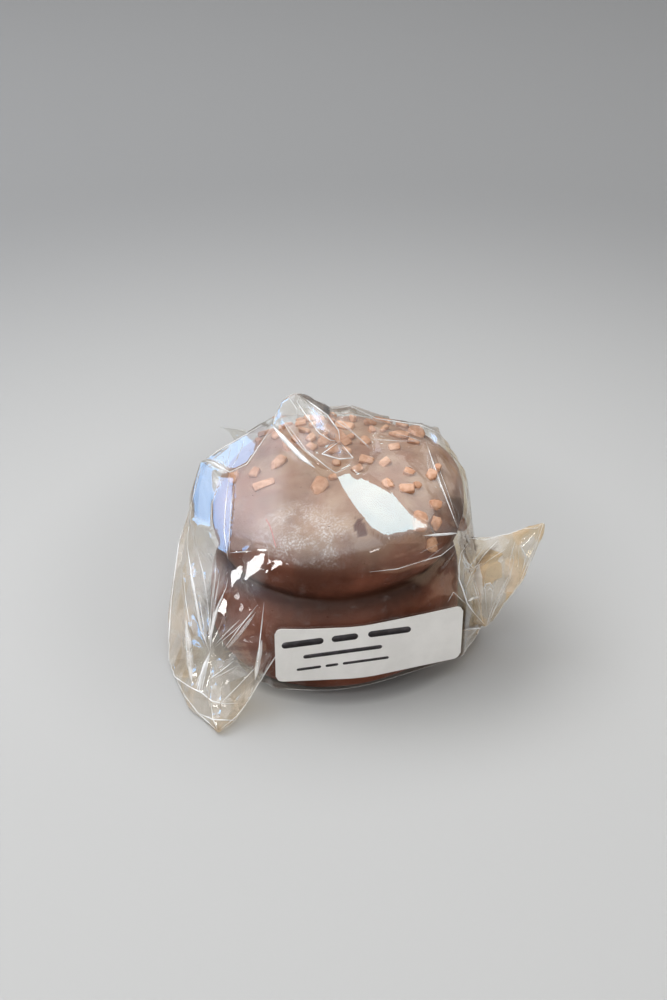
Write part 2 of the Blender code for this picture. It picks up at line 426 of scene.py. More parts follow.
@dataclass(frozen=True)
class Blotches:
    """Noise that breaks up a finish, as plain noise or as blotches with soft edges."""

    size: float  # about how far across a blotch is
    detail: float = 3.0  # how finely it is broken
    span: Span = ()  # the levels of noise between which the blotches run, and what they run from and to

    def add(self, tree: NodeTree, place: NodeSocket) -> Node:
        """Add the pattern.

        Args:
            tree: The node tree that gets it.
            place: Object coordinates in millimetres.

        Returns:
            The node that gives its value.
        """
        settings = {"Vector": place, "Scale": 0.5 / self.size, "Detail": self.detail, "Roughness": 0.6}
        raw = add_node(tree, "ShaderNodeTexNoise", settings)
        return add_node(tree, RANGE, (raw, *self.span), **SOFTLY) if self.span else raw


@dataclass(frozen=True)
class ClearFilmFinish(Finish):
    """Cast polypropylene film, 30 microns thick: clear, crisp and glossy, so it shows as what it mirrors.

    Where spare film is folded over, it lies in flaps that each tilt their own
    way, so it looks broken up, warmer and a little whitish there.
    """

    name: str = "clear_polypropylene_film"
    head_on: float = 0.085  # mirrored by the two faces of a sheet seen straight on, at an IOR of 1.5
    rise: float = 5.0  # the power by which more is mirrored at a glancing view
    roughness: float = 0.035
    tint: str = "#fdfcf9"
    doubled_tint: str = "#f8e7c8"  # where spare film lies in several layers
    edge_on_and_painted_shade_tint: str = "#967f68"  # where it is seen edge on or folded over and over, and as painted shade in shaded folds, pockets and behind the crest
    # whitish film of fine creases, also the colour of its painted highlights and painted veil
    haze: str = "#f6f7f8"
    doubled_haze_and_highlight: str = "#f8e0c6"
    flap: Place = (4.2, 4.2, 11.0)  # about the size of a folded-over flap
    flap_doubled: Span = (0.1, 0.9, 0.2, 1.0)  # by each flap's own lot: how much it is doubled
    flap_hazy: Span = (0.1, 0.9, 0.45, 1.3)  # and how whitish it is
    flap_tilt: float = 0.55
    tilt_from: Span = (0.05, 0.4)  # layers of spare film over which the flaps come up
    ripple: Blotches = Blotches(1.3, 2.0)
    ripple_strength: float = 0.25
    ripple_depth: float = 0.03
    cloud: Blotches = Blotches(5.0, 4.0, (0.35, 0.65, 0.6, 1.0))
    scratches: Blotches = Blotches(1.6, 5.0, (0.55, 0.8, 0.0, 0.05))

    def shader(self, tree: NodeTree, place: NodeSocket) -> Node:
        """Mirror the room over clear film, cloud it where it is creased, whiten it where painted highlights and a
        painted veil are listed, and darken its tint with painted shade where listed.
        """
        layers, smoked, haze_and_highlight_share = (
            add_node(tree, ATTRIBUTE, attribute_name=name).outputs["Fac"] for name in ("layers", "smoked", "haze")
        )
        cells = add_node(tree, "ShaderNodeMapping", {"Vector": place, "Scale": tuple(1 / side for side in self.flap)})
        flap = add_node(tree, "ShaderNodeTexVoronoi", {"Vector": cells, "Scale": 1.0}).outputs["Color"]
        lots = add_node(tree, "ShaderNodeSeparateXYZ", (flap,)).outputs
        doubled = add_node(tree, RANGE, (lots["X"], *self.flap_doubled), **SOFTLY)
        overlap = add_node(tree, MATH, (layers, doubled), operation="MULTIPLY")
        # the tint darkens in the listed areas: film seen edge on, and painted shade in folds and pockets
        tint = coated(tree, self.tint, (overlap, self.doubled_tint), (smoked, self.edge_on_and_painted_shade_tint))
        clear = add_node(tree, "ShaderNodeBsdfTransparent", {"Color": tint})
        relief = {
            "Height": self.ripple.add(tree, place),
            "Strength": self.ripple_strength,
            "Distance": self.ripple_depth * MM,
        }
        wavy = add_node(tree, "ShaderNodeBump", relief)
        lean = add_node(tree, VECTOR_MATH, (flap, (0.5, 0.5, 0.5)), operation="SUBTRACT")
        raised = add_node(tree, RANGE, (layers, *self.tilt_from), **SOFTLY)
        tilt = add_node(tree, MATH, (raised, self.flap_tilt), operation="MULTIPLY")
        tilted = add_node(tree, VECTOR_MATH, {0: lean, "Scale": tilt}, operation="SCALE")
        summed = add_node(tree, VECTOR_MATH, (wavy, tilted), operation="ADD")
        normal = add_node(tree, VECTOR_MATH, (summed,), operation="NORMALIZE")
        gloss = add_node(tree, "ShaderNodeBsdfGlossy", {"Roughness": self.roughness, "Normal": normal})
        facing = add_node(tree, "ShaderNodeLayerWeight", {"Blend": 0.5}).outputs["Facing"]
        glancing = add_node(tree, MATH, (facing, self.rise), operation="POWER")
        mirrored = add_node(tree, MATH, (glancing, 1 - self.head_on, self.head_on), operation="MULTIPLY_ADD")
        film = add_node(tree, "ShaderNodeMixShader", (mirrored, clear, gloss))
        hazy = add_node(tree, RANGE, (lots["Y"], *self.flap_hazy), **SOFTLY)
        # the creases' whitish film, with painted highlights and a painted veil where listed
        milky = add_node(tree, MATH, (haze_and_highlight_share, hazy), operation="MULTIPLY")
        cloudy = add_node(tree, MATH, (milky, self.cloud.add(tree, place)), operation="MULTIPLY")
        whitish_share = add_node(tree, MATH, (cloudy, self.scratches.add(tree, place)), operation="ADD")
        dull = add_node(tree, "ShaderNodeBsdfDiffuse", {"Color": coated(tree, self.haze, (overlap, self.doubled_haze_and_highlight))})
        return add_node(tree, "ShaderNodeMixShader", (whitish_share, film, dull))


@dataclass(frozen=True)
class FoldWhiteningAndGlintFinish(Finish):
    """A fold pressed into the film: the plastic is stretched and whitish there, and the white line is made strong
    enough to stand also for a painted glint along the fold.
    """

    name: str = "pressed_film_fold"
    colour: str = "#fbfcfd"
    roughness: float = 0.25
    specular: float = 0.8
    broken: Blotches = Blotches(4.0, 2.0, (0.35, 0.62, 0.5, 1.0))  # it comes and goes along its length

    def shader(self, tree: NodeTree, place: NodeSocket) -> Node:
        """Let the whitened line come and go."""
        white = {"Base Color": linear(self.colour), "Roughness": self.roughness, "Specular IOR Level": self.specular}
        solid = add_node(tree, "ShaderNodeBsdfPrincipled", white)
        clear = add_node(tree, "ShaderNodeBsdfTransparent")
        strength = add_node(tree, ATTRIBUTE, attribute_name="strength").outputs["Fac"]
        share = add_node(tree, MATH, (strength, self.broken.add(tree, place)), operation="MULTIPLY")
        return add_node(tree, "ShaderNodeMixShader", (share, clear, solid))


@dataclass(frozen=True)
class ChocolateFinish(Finish):
    """Dipped chocolate coating: dull, with a pale bloom of cocoa butter on top that also stands for a painted veil of
    the light that the film mirrors over the dome, and scuffs where the bag rubbed it.
    """

    name: str = "dipped_chocolate_coating"
    dark: str = "#5a3122"
    plain: str = "#824b38"
    # cocoa butter bloom, made paler as a painted veil of the light that the film mirrors over the dome
    bloom_and_painted_veil: str = "#aa8f7b"
    dust: str = "#d6d2d6"
    crumb: str = "#54291b"
    shaded: str = "#21110b"  # painted shade in the groove between the layers, laid over the bloom
    uneven: Blotches = Blotches(7.0, 3.0, (0.3, 0.7))
    bloom_and_veil_heights: Span = (32.0, 44.5)  # where the bloom and its painted veil begin, by height, and where they are full
    bloom_and_veil_cloud: Blotches = Blotches(5.0, 5.0, (0.3, 0.7, 0.35, 1.0))
    scuff_centre: Place = (-7.5, -25.0, 41.0)
    scuff_reach: Span = (15.0, 4.5)  # distances from it where the scuffs begin and where they are full
    scuff_top: Span = (46.5, 42.5)  # heights likewise, from above
    scuff_foot: Span = (34.0, 38.0)  # and from below
    scuff_grains: Blotches = Blotches(0.24, 3.0, (0.46, 0.64, 0.14, 0.85))  # of crushed coating
    scuff_patches: Blotches = Blotches(2.6, 6.0, (0.39, 0.58))
    lumps: Blotches = Blotches(2.0, 3.0)
    pits: Blotches = Blotches(0.5, 4.0)
    pit_share: float = 0.5  # of the lumps' height
    relief_strength: float = 0.6
    relief_depth: float = 0.25
    gloss: Blotches = Blotches(3.0, 3.0, (0.3, 0.7, 0.42, 0.62))
    ior: float = 1.46  # cocoa butter

    def scuffs(self, tree: NodeTree, place: NodeSocket, height: NodeSocket) -> Node:
        """Add the scuffs.

        Args:
            tree: The material's node tree.
            place: Object coordinates in millimetres.
            height: The height among them.

        Returns:
            The node that says how scuffed each place is.
        """
        away = add_node(tree, VECTOR_MATH, (place, self.scuff_centre), operation="DISTANCE").outputs["Value"]
        whitish_share = add_node(tree, RANGE, (away, *self.scuff_reach), **SOFTLY)
        for limit in (
            add_node(tree, RANGE, (height, *self.scuff_top), **SOFTLY),
            add_node(tree, RANGE, (height, *self.scuff_foot), **SOFTLY),
            self.scuff_grains.add(tree, place),
            self.scuff_patches.add(tree, place),
        ):
            whitish_share = add_node(tree, MATH, (whitish_share, limit), operation="MULTIPLY")
        return whitish_share

    def shader(self, tree: NodeTree, place: NodeSocket) -> Node:
        """Lay the bloom with its painted veil, the scuffs and the painted shade in the groove over the plain coating.
        """
        height = add_node(tree, "ShaderNodeSeparateXYZ", (place,)).outputs["Z"]
        rise = add_node(tree, RANGE, (height, *self.bloom_and_veil_heights), **SOFTLY)
        groove, chipped = (
            add_node(tree, ATTRIBUTE, attribute_name=name).outputs["Fac"] for name in ("groove", "chipped")
        )
        colour = coated(
            tree,
            self.dark,
            (self.uneven.add(tree, place), self.plain),
            (add_node(tree, MATH, (rise, self.bloom_and_veil_cloud.add(tree, place)), operation="MULTIPLY"), self.bloom_and_painted_veil),
            (self.scuffs(tree, place, height), self.dust),
            (groove, self.shaded),
            (chipped, self.crumb),
        )
        bumpy = (self.pits.add(tree, place), self.pit_share, self.lumps.add(tree, place))
        relief = {
            "Height": add_node(tree, MATH, bumpy, operation="MULTIPLY_ADD"),
            "Strength": self.relief_strength,
            "Distance": self.relief_depth * MM,
        }
        coating = {
            "Base Color": colour,
            "Roughness": self.gloss.add(tree, place),
            "Normal": add_node(tree, "ShaderNodeBump", relief),
            "IOR": self.ior,
        }
        return add_node(tree, "ShaderNodeBsdfPrincipled", coating)


@dataclass(frozen=True)
class DryFinish(Finish):
    """A small dry finish: two tones in soft blotches, and a fine grain where it has one."""

    name: str
    body: str
    other: str
    blotches: Blotches
    roughness: float
    grain: Blotches | None = None
    grain_strength: float = 0.0
    grain_depth: float = 0.0

    def shader(self, tree: NodeTree, place: NodeSocket) -> Node:
        """Mix the two tones and raise the grain."""
        colour = coated(tree, self.body, (self.blotches.add(tree, place), self.other))
        surface = {"Base Color": colour, "Roughness": self.roughness}
        if self.grain is not None:
            relief = {
                "Height": self.grain.add(tree, place),
                "Strength": self.grain_strength,
                "Distance": self.grain_depth * MM,
            }
            surface["Normal"] = add_node(tree, "ShaderNodeBump", relief)
        return add_node(tree, "ShaderNodeBsdfPrincipled", surface)


# Caramel flavoured coating chips: matt, opaque and grainy, paler where their corners are worn.
CARAMEL_CHIP = DryFinish(
    "caramel_chip", "#b98666", "#d8ad91", Blotches(1.1, 5.0, (0.38, 0.7)), 0.55, Blotches(0.35, 4.0), 0.5, 0.15
)
# A stray cotton fibre, dull and unevenly dyed.
COTTON_FIBRE = DryFinish("cotton_fibre", "#b9493f", "#d2857a", Blotches(0.8), 0.9)
# Semi-gloss white sticker paper, calendered smooth, with faint fibre cloud and a grain that is just felt.
STICKER_PAPER = DryFinish(
    "semi_gloss_sticker_paper",
    "#efede9",
    "#e8e6e2",
    Blotches(4.0, 4.0, (0.35, 0.65)),
    0.38,
    Blotches(0.4, 3.0),
    0.15,
    0.03,
)
# Black thermal print, slightly uneven in tone.
THERMAL_PRINT = DryFinish("thermal_print", "#2b292b", "#454246", Blotches(0.8, 4.0, (0.4, 0.75)), 0.5)


# -------- node groups


def new_maker(name: str, inputs: dict[str, str]) -> tuple[NodeTree, Node]:
    """Start a Geometry Nodes tree with a geometry input and output.

    Args:
        name: The tree's name.
        inputs: The socket type of each further named input.

    Returns:
        The tree and its input node.
    """
    tree = bpy.data.node_groups.new(name, "GeometryNodeTree")
    tree.interface.new_socket("Geometry", in_out="INPUT", socket_type="NodeSocketGeometry")
    for title, kind in inputs.items():
        tree.interface.new_socket(title, in_out="INPUT", socket_type=kind)
    tree.interface.new_socket("Geometry", in_out="OUTPUT", socket_type="NodeSocketGeometry")
    return tree, add_node(tree, "NodeGroupInput")


def end_maker(tree: NodeTree, geometry: Node, material: NodeSocket) -> None:
    """End a tree in real meshes with one material."""
    real = add_node(tree, "GeometryNodeRealizeInstances", (geometry,))
    dressed = add_node(tree, "GeometryNodeSetMaterial", {"Geometry": real, "Material": material})
    add_node(tree, "NodeGroupOutput", {"Geometry": dressed})


def made_by(name: str, source: Mesh, tree: NodeTree, values: dict[str, object]) -> Object:
    """Run a tree on a mesh and keep the result as a plain piece.

    Args:
        name: The piece's name.
        source: What the tree starts from.
        tree: The tree.
        values: A value for each of the tree's named inputs.

    Returns:
        The piece, with no modifier.
    """
    holder = new_piece(name + "_source", source)
    modifier = holder.modifiers.new(name, "NODES")
    modifier.node_group = tree
    for item in tree.interface.items_tree:
        if item.in_out == "INPUT" and item.name in values:
            modifier[item.identifier] = values[item.name]
    bpy.context.view_layer.update()
    evaluated = holder.evaluated_get(bpy.context.evaluated_depsgraph_get())
    mesh = bpy.data.meshes.new_from_object(evaluated)
    holder.modifiers.clear()
    bpy.data.objects.remove(holder)
    mesh.name = name
    mesh.shade_smooth()
    return new_piece(name, mesh)


# -------- cake


class ChipShape(Enum):
    """How long and wide a caramel chip is, in millimetres."""

    SLIVER = (6.3, 2.7)
    BLOCK = (3.9, 2.9)
    OVAL = (5.4, 3.9)
    BIT = (2.4, 1.9)
    NUGGET = (3.2, 2.7)
    SPLINTER = (3.6, 1.5)


@dataclass(frozen=True)
class PlacedChip:
    """A chip that stands out in the photo: its middle, its shape and how far its length turns from level."""

    pixel: Pixel
    shape: ChipShape
    turn: float


@dataclass(frozen=True)
class ChipBed:
    """Where a chip lies."""

    place: Vector
    normal: Vector  # the way up
    way: Vector  # the way of its length
    shape: ChipShape


SLIVER, BLOCK, OVAL, BIT, NUGGET, SPLINTER = ChipShape
PLACED_CHIPS = tuple(
    PlacedChip(*row)
    for row in (
        ((255, 473), NUGGET, 60),
        ((278, 464), SLIVER, 42),
        ((265, 485), SLIVER, 22),
        ((234, 479), BLOCK, 75),
        ((320, 488), OVAL, 70),
        ((333, 478), BIT, 10),
        ((367, 461), BLOCK, -5),
        ((385, 463), NUGGET, 30),
        ((394, 448), NUGGET, 5),
        ((409, 473), NUGGET, -20),
        ((388, 485), BLOCK, -55),
        ((406, 489), BLOCK, -8),
        ((417, 486), BIT, -40),
        ((435, 505), NUGGET, -15),
        ((419, 522), OVAL, 80),
        ((435, 524), BLOCK, 75),
        ((431, 544), BLOCK, 85),
        ((431, 476), BLOCK, 60),
        ((437, 469), BIT, 80),
        ((464, 524), BLOCK, 85),
        ((357, 470), NUGGET, 20),
        ((276, 437), NUGGET, 50),
        ((289, 447), BLOCK, -50),
        ((365, 442), NUGGET, -30),
        ((302, 422), SPLINTER, 5),
        ((305, 432), SPLINTER, -10),
        ((311, 439), NUGGET, 30),
        ((324, 443), BLOCK, 20),
        ((296, 440), BIT, -40),
        ((333, 451), NUGGET, 10),
        ((336, 464), BIT, 0),
        ((347, 452), SPLINTER, -30),
        ((370, 424), SPLINTER, -5),
        ((372, 431), BIT, -60),
        ((399, 436), SLIVER, -10),
        ((384, 430), SPLINTER, 30),
        ((414, 443), SPLINTER, -12),
    )
)


@dataclass(frozen=True)
class BrokenSlab:
    """How uneven a chip of unit size is: a broken slab with four to six sides."""

    sides: tuple[int, int] = (4, 7)  # at least the first and fewer than the second
    first_turn: float = 0.75
    off_turn: float = 0.2  # of the turn from one corner to the next
    reach: Span = (0.55, 0.72)
    half: float = 0.5  # where the slab is cut off
    narrowing: Span = (0.78, 1.0)  # from the base to the top
    top: Span = (0.25, 0.55)
    merge_angle: float = 0.2
    rounding: float = 0.13
    rounding_steps: int = 3
    rounding_profile: float = 0.55
    wear: float = 0.022

    def build(self, name: str, rng: np.random.Generator) -> Object:
        """Break one chip.

        Args:
            name: Its name.
            rng: Where its lots are drawn from.

        Returns:
            The chip.
        """
        block = bmesh.new()
        sides = int(rng.integers(*self.sides))
        for side in range(sides):
            turn = 2 * math.pi * (side + rng.uniform(-self.off_turn, self.off_turn)) / sides + self.first_turn
            reach = rng.uniform(*self.reach)
            x, y = (max(-self.half, min(self.half, reach * way)) for way in (math.cos(turn), math.sin(turn)))
            block.verts.new((x, y, -self.half))
            shrink = rng.uniform(*self.narrowing)
            block.verts.new((x * shrink, y * shrink, rng.uniform(*self.top)))
        hull = bmesh.ops.convex_hull(block, input=block.verts[:])
        bmesh.ops.delete(block, geom=list({*hull["geom_interior"], *hull["geom_unused"]}), context="VERTS")
        bmesh.ops.dissolve_limit(block, angle_limit=self.merge_angle, verts=block.verts[:], edges=block.edges[:])
        bmesh.ops.bevel(
            block,
            geom=block.edges[:],
            offset=self.rounding,
            segments=self.rounding_steps,
            affect="EDGES",
            profile=self.rounding_profile,
        )
        for corner in block.verts:
            corner.co += Vector(rng.uniform(-self.wear, self.wear, 3))
        mesh = bpy.data.meshes.new(name)
        block.to_mesh(mesh)
        block.free()
        return bpy.data.objects.new(name, mesh)


@dataclass
class Cake:
    """A round cake of two layers, dipped in chocolate, with caramel chips on its dome."""

    outline: tuple[tuple[float, float], ...] = (  # radius and height, from under the base to the top
        (0.0, 0.5), (18.0, 0.5), (28.9, 0.5), (30.8, 1.6), (31.7, 4.9), (31.6, 10.5), (31.2, 15.6),
        (30.2, 19.6), (28.6, 22.2), (27.6, 24.0), (28.4, 25.6), (30.0, 28.2), (30.9, 31.8), (30.9, 35.6),
        (29.8, 39.4), (27.0, 42.8), (20.8, 45.4), (11.0, 46.3), (0.0, 46.5),
    )
    lower_shift: tuple[float, float] = (-1.0, -1.4)
    upper_shift: tuple[float, float] = (-0.1, -0.4)
    seam_height: float = 24.0
    seam_blend: float = 1.5  # above and below the seam, where one shift turns into the other
    # the painted shade in the groove between the layers: its width, and how dark it is at its middle
    groove_width: float = 3.4
    groove_shade: float = 0.8
    lean: float = math.radians(3.2)
    base_lean: float = math.radians(1.6)
    swell_turn: float = 1.3  # how often the outline swells and shrinks round the cake
    swell_rise: float = 26.0  # and the height over which it does
    swell: tuple[float, float] = (0.012, 0.35)  # as a share of the radius, and in height
    swell_start: Place = (7.1, 0.0, 0.0)
    lump_size: float = 9.0
    lump: tuple[float, float] = (0.007, 0.5)
    lump_free_base: float = 20.0  # the height over which the lumps come up from a level base
    turns: int = 300
    rows: int = 170
    heart: Place = (0.0, 0.0, 24.0)  # what the film presses the cake towards
    clearance: float = 0.4  # least gap to the film
    slab: BrokenSlab = BrokenSlab()
    slabs: int = 7
    heaps: tuple[tuple[Pixel, Pixel, int], ...] = (  # middle and half sizes in the photo, and how many chips
        ((318, 434), (24, 15), 8),
        ((400, 434), (24, 9), 3),
        ((352, 442), (12, 10), 2),
    )
    tries: int = 20  # for each chip
    most_turn: float = 3.0  # radians, either way
    hidden_chips: int = 10  # on the back of the dome
    hidden_middle: Place = (0.0, 15.0, 80.0)  # above it
    hidden_half: tuple[float, float] = (22.0, 11.0)
    hidden_gap: float = 3.9
    chip_thickness: float = 1.6
    chip_thickness_shares: Span = (0.75, 1.15)
    chip_size_shares: Span = (0.9, 1.06)
    chip_lift: float = 0.3  # of its thickness, from the coating to its middle
    chip_tip: float = 0.16  # radians
    chip_gap: float = 2.6
    chip_edge: float = math.radians(48)  # a sharper edge than this looks broken, not rounded
    facing: float = 0.4  # how far the chips that show are tipped to the viewer
    crumbs_each_square_metre: float = 26000.0
    crumb_gap: float = 2.6
    crumb_radius: float = 0.26
    crumb_least: Place = (0.4, 0.3, 0.3)  # of that radius
    crumb_most: Place = (1.6, 1.0, 0.7)
    flake_pixel: Pixel = (360, 528)
    flake_across: tuple[float, float] = (1.155, -0.21)  # what makes its slanting outline in the photo round
    flake_down: tuple[float, float] = (0.0, 0.62)
    flake_edge: Span = (6.0, 6.8)
    flake_ragged: tuple[float, float] = (0.9, 3.4)  # how often its edge wanders, and how far
    flake_reach: float = 8.0
    flake_depth: float = 0.18

    def outline_at(self, share: float) -> tuple[float, float]:
        """Radius and height at a share of the outline, on a smooth curve through its points.

        Args:
            share: How far along the outline, from 0 to 1.

        Returns:
            The radius and the height in millimetres.
        """
        at = share * (len(self.outline) - 1)
        index = min(int(at), len(self.outline) - 2)
        t = at - index
        before, start, end, after = (
            Vector(self.outline[min(max(i, 0), len(self.outline) - 1)]) for i in range(index - 1, index + 3)
        )
        slope_in, slope_out = (end - before) / 2, (after - start) / 2
        curve = (
            start * (2 * t**3 - 3 * t**2 + 1)
            + slope_in * (t**3 - 2 * t**2 + t)
            + end * (3 * t**2 - 2 * t**3)
            + slope_out * (t**3 - t**2)
        )
        return max(curve.x, 0.0), curve.y

    def point_at(self, turn: float, share: float) -> Vector:
        """A place on the cake before the film limits it.

        Args:
            turn: The way from the cake's axis, in radians.
            share: How far along the outline, from 0 to 1.

        Returns:
            The place in millimetres.
        """
        radius, height = self.outline_at(share)
        side = Vector((math.cos(turn), math.sin(turn), 0))
        risen = Vector((0, 0, height / self.swell_rise))
        swell = noise.noise(side * self.swell_turn + risen + Vector(self.swell_start))
        lump = noise.noise(side * radius / self.lump_size + Vector((0, 0, height / self.lump_size)))
        radius *= 1 + self.swell[0] * swell + self.lump[0] * lump
        height += self.lump[1] * lump * min(1.0, height / self.lump_free_base) + self.swell[1] * swell
        low, high = self.seam_height - self.seam_blend, self.seam_height + self.seam_blend
        upper = float(smooth_step(low, high, np.float64(height)))
        shift = Vector(self.lower_shift).lerp(Vector(self.upper_shift), upper)
        place = side * radius + Vector((shift.x, shift.y, height))
        leaned = self.base_lean + (self.lean - self.base_lean) * min(1.0, height / self.seam_height)
        place.z += place.x * math.tan(leaned)
        return place

    def corner(self, row: int, step: int) -> int:
        """Which point is the corner at this row and step, where each pole is one point."""
        if row in (0, self.rows):
            return 0 if row == 0 else 1 + (self.rows - 1) * self.turns
        return 1 + (row - 1) * self.turns + step % self.turns

    def build(self, film: BVHTree) -> Mesh:
        """Turn the outline and keep it inside the film.

        Args:
            film: The film before it is creased.

        Returns:
            The cake's mesh.
        """
        points, faces, groove = [], [], []
        for row in range(self.rows + 1):
            share = row / self.rows
            off_seam = (self.outline_at(share)[1] - self.seam_height) / self.groove_width
            for step in range(1 if row in (0, self.rows) else self.turns):
                turn = 2 * math.pi * step / self.turns
                points.append(self.within(film, self.point_at(turn, share)))
                groove.append(self.groove_shade * math.exp(-(off_seam**2)))
        for row in range(self.rows):
            for step in range(self.turns):
                around = ((row, step), (row, step + 1), (row + 1, step + 1), (row + 1, step))
                faces.append(tuple(dict.fromkeys(self.corner(*at) for at in around)))
        mesh = mesh_from("chocolate_cake", points, faces)
        store(mesh, "groove", np.array(groove))
        return mesh

    def within(self, film: BVHTree, place: Vector) -> Vector:
        """Pull a place in until it keeps its clearance to the film.

        Args:
            film: The film's surface.
            place: A place on the cake.

        Returns:
            The place, or one nearer the cake's heart.
        """
        heart = Vector(self.heart)
        out = place - heart
        hit, _, _, distance = film.ray_cast(heart, out.normalized())
        if hit is not None and distance - self.clearance < out.length:
            return heart + out.normalized() * (distance - self.clearance)
        return place

    def flake(self, mesh: Mesh, view: PhotoView) -> None:
        """Break a flake out of the coating, down to the dark crumb.

        Args:
            mesh: The cake, which is changed.
            view: The photo's view.
        """
        centre, _ = view.hit(surface_tree(mesh), self.flake_pixel)
        places = places_of(mesh)
        pixels = view.pixels_of(places) - np.array(self.flake_pixel)
        often, far = self.flake_ragged
        ragged = np.array([noise.noise(Vector(place) * often) for place in places]) * far
        away = np.hypot(pixels @ np.array(self.flake_across), pixels @ np.array(self.flake_down)) + ragged
        near = np.linalg.norm(places - np.array(centre), axis=1) < self.flake_reach
        chipped = (1 - smooth_step(*self.flake_edge, away)) * near
        store(mesh, "chipped", chipped)
        move_points(mesh, places - normals_of(mesh) * (chipped * self.flake_depth)[:, None])

    def chip_shapes(self) -> Collection:
        """Make uneven chips of unit size to pick from."""
        shelf = bpy.data.collections.new("chip_shapes")
        bpy.context.scene.collection.children.link(shelf)
        rng = np.random.default_rng(SEED)
        for index in range(self.slabs):
            shelf.objects.link(self.slab.build(f"chip_shape_{index}", rng))
        return shelf

    def chip_beds(self, cake: BVHTree, view: PhotoView) -> list[ChipBed]:
        """Choose where the chips lie.

        Args:
            cake: The cake's surface.
            view: The photo's view.

        Returns:
            One bed for each chip.
        """
        right, up, ahead = view.axes
        rng = np.random.default_rng(SEED + 1)
        shapes = list(ChipShape)
        beds = []

        def lay(found: tuple[Vector, Vector] | None, way: Vector, shape: ChipShape, facing: float, gap: float) -> bool:
            """Add a chip where there is room, and say whether there was.

            Args:
                found: Its place and normal, if it has any.
                way: The way of its length.
                shape: Its shape.
                facing: How far it turns to the viewer, from 0 to 1.
                gap: The least distance to other chips.

            Returns:
                Whether it was added.
            """
            if found is None or any((found[0] - bed.place).length < gap for bed in beds):
                return False
            beds.append(ChipBed(found[0], found[1].lerp(-ahead, facing).normalized(), way, shape))
            return True

        for chip in PLACED_CHIPS:
            turn = math.radians(chip.turn)
            found = view.near_hit(cake, chip.pixel)
            way = right * math.cos(turn) + up * math.sin(turn)
            way -= ahead * (way.dot(found[1]) / ahead.dot(found[1]))
            lay(found, way, chip.shape, self.facing, 0.0)
        for middle, half, count in self.heaps:
            laid = 0
            for _ in range(count * self.tries):
                across, down, turn = rng.uniform(-1, 1, 3)
                pixel = (middle[0] + half[0] * across, middle[1] + half[1] * down)
                way = right * math.cos(turn * self.most_turn) + up * math.sin(turn * self.most_turn)
                shape = shapes[int(rng.integers(len(shapes)))]
                if laid < count and across**2 + down**2 < 1:
                    laid += lay(view.hit(cake, pixel), way, shape, self.facing, self.chip_gap)
        laid = 0
        for _ in range(self.hidden_chips * self.tries):
            x, y, turn = rng.uniform(-1, 1, 3)
            above = Vector(self.hidden_middle) + Vector((x * self.hidden_half[0], y * self.hidden_half[1], 0))
            place, normal, _, _ = cake.ray_cast(above, Vector((0, 0, -1)))
            found = None if place is None else (place, normal)
            way = Vector((math.cos(turn * self.most_turn), math.sin(turn * self.most_turn), 0))
            shape = shapes[int(rng.integers(len(shapes)))]
            if laid < self.hidden_chips:
                laid += lay(found, way, shape, 0.0, self.hidden_gap)
        return beds

    def chip_places(self, beds: Sequence[ChipBed]) -> Mesh:
        """One point for each chip, with how it lies and its size as attributes.

        Args:
            beds: Where the chips lie.

        Returns:
            The points.
        """
        rng = np.random.default_rng(SEED + 2)
        mesh = bpy.data.meshes.new("chip_places")
        lift = self.chip_thickness * self.chip_lift
        mesh.from_pydata([(bed.place + bed.normal * lift) * MM for bed in beds], [], [])
        turns, sizes = [], []
        for bed in beds:
            tipped = (bed.normal + Vector(rng.normal(0, self.chip_tip, 3))).normalized()
            along = (bed.way - tipped * bed.way.dot(tipped)).normalized()
            turns.extend(Matrix((along, tipped.cross(along), tipped)).transposed().to_quaternion())
            thick = self.chip_thickness * rng.uniform(*self.chip_thickness_shares)
            grown = rng.uniform(*self.chip_size_shares)
            length, width = (side * grown for side in bed.shape.value)
            sizes.extend(Vector((length, width, thick)) * MM)
        mesh.attributes.new("lie", "QUATERNION", "POINT").data.foreach_set("value", turns)
        mesh.attributes.new("size", "FLOAT_VECTOR", "POINT").data.foreach_set("vector", sizes)
        return mesh

    def chips(self, cake: BVHTree, view: PhotoView, material: Material) -> Object:
        """Lay the chips on the cake.

        Args:
            cake: The cake's surface.
            view: The photo's view.
            material: The chips' finish.

        Returns:
            All the chips as one piece.
        """
        inputs = {"Shapes": "NodeSocketCollection", "Seed": "NodeSocketInt", "Material": "NodeSocketMaterial"}
        tree, given = new_maker("chip_layer", inputs)
        shelf = {"Collection": given.outputs["Shapes"], "Separate Children": True, "Reset Children": True}
        draw = {"Seed": given.outputs["Seed"], 4: 0, 5: self.slabs - 1}
        laid = {
            "Points": given.outputs["Geometry"],
            "Instance": add_node(tree, "GeometryNodeCollectionInfo", shelf),
            "Pick Instance": True,
            "Instance Index": add_node(tree, "FunctionNodeRandomValue", draw, data_type="INT").outputs[2],
            "Rotation": add_node(tree, NAMED_ATTRIBUTE, {"Name": "lie"}, data_type="QUATERNION"),
            "Scale": add_node(tree, NAMED_ATTRIBUTE, {"Name": "size"}, data_type="FLOAT_VECTOR"),
        }
        end_maker(tree, add_node(tree, "GeometryNodeInstanceOnPoints", laid), given.outputs["Material"])
        shapes = self.chip_shapes()
        beds = self.chip_places(self.chip_beds(cake, view))
        piece = made_by("caramel_chips", beds, tree, {"Shapes": shapes, "Seed": SEED, "Material": material})
        piece.data.set_sharp_from_angle(angle=self.chip_edge)
        for shape in list(shapes.objects):
            bpy.data.objects.remove(shape)
        bpy.data.collections.remove(shapes)
        return piece

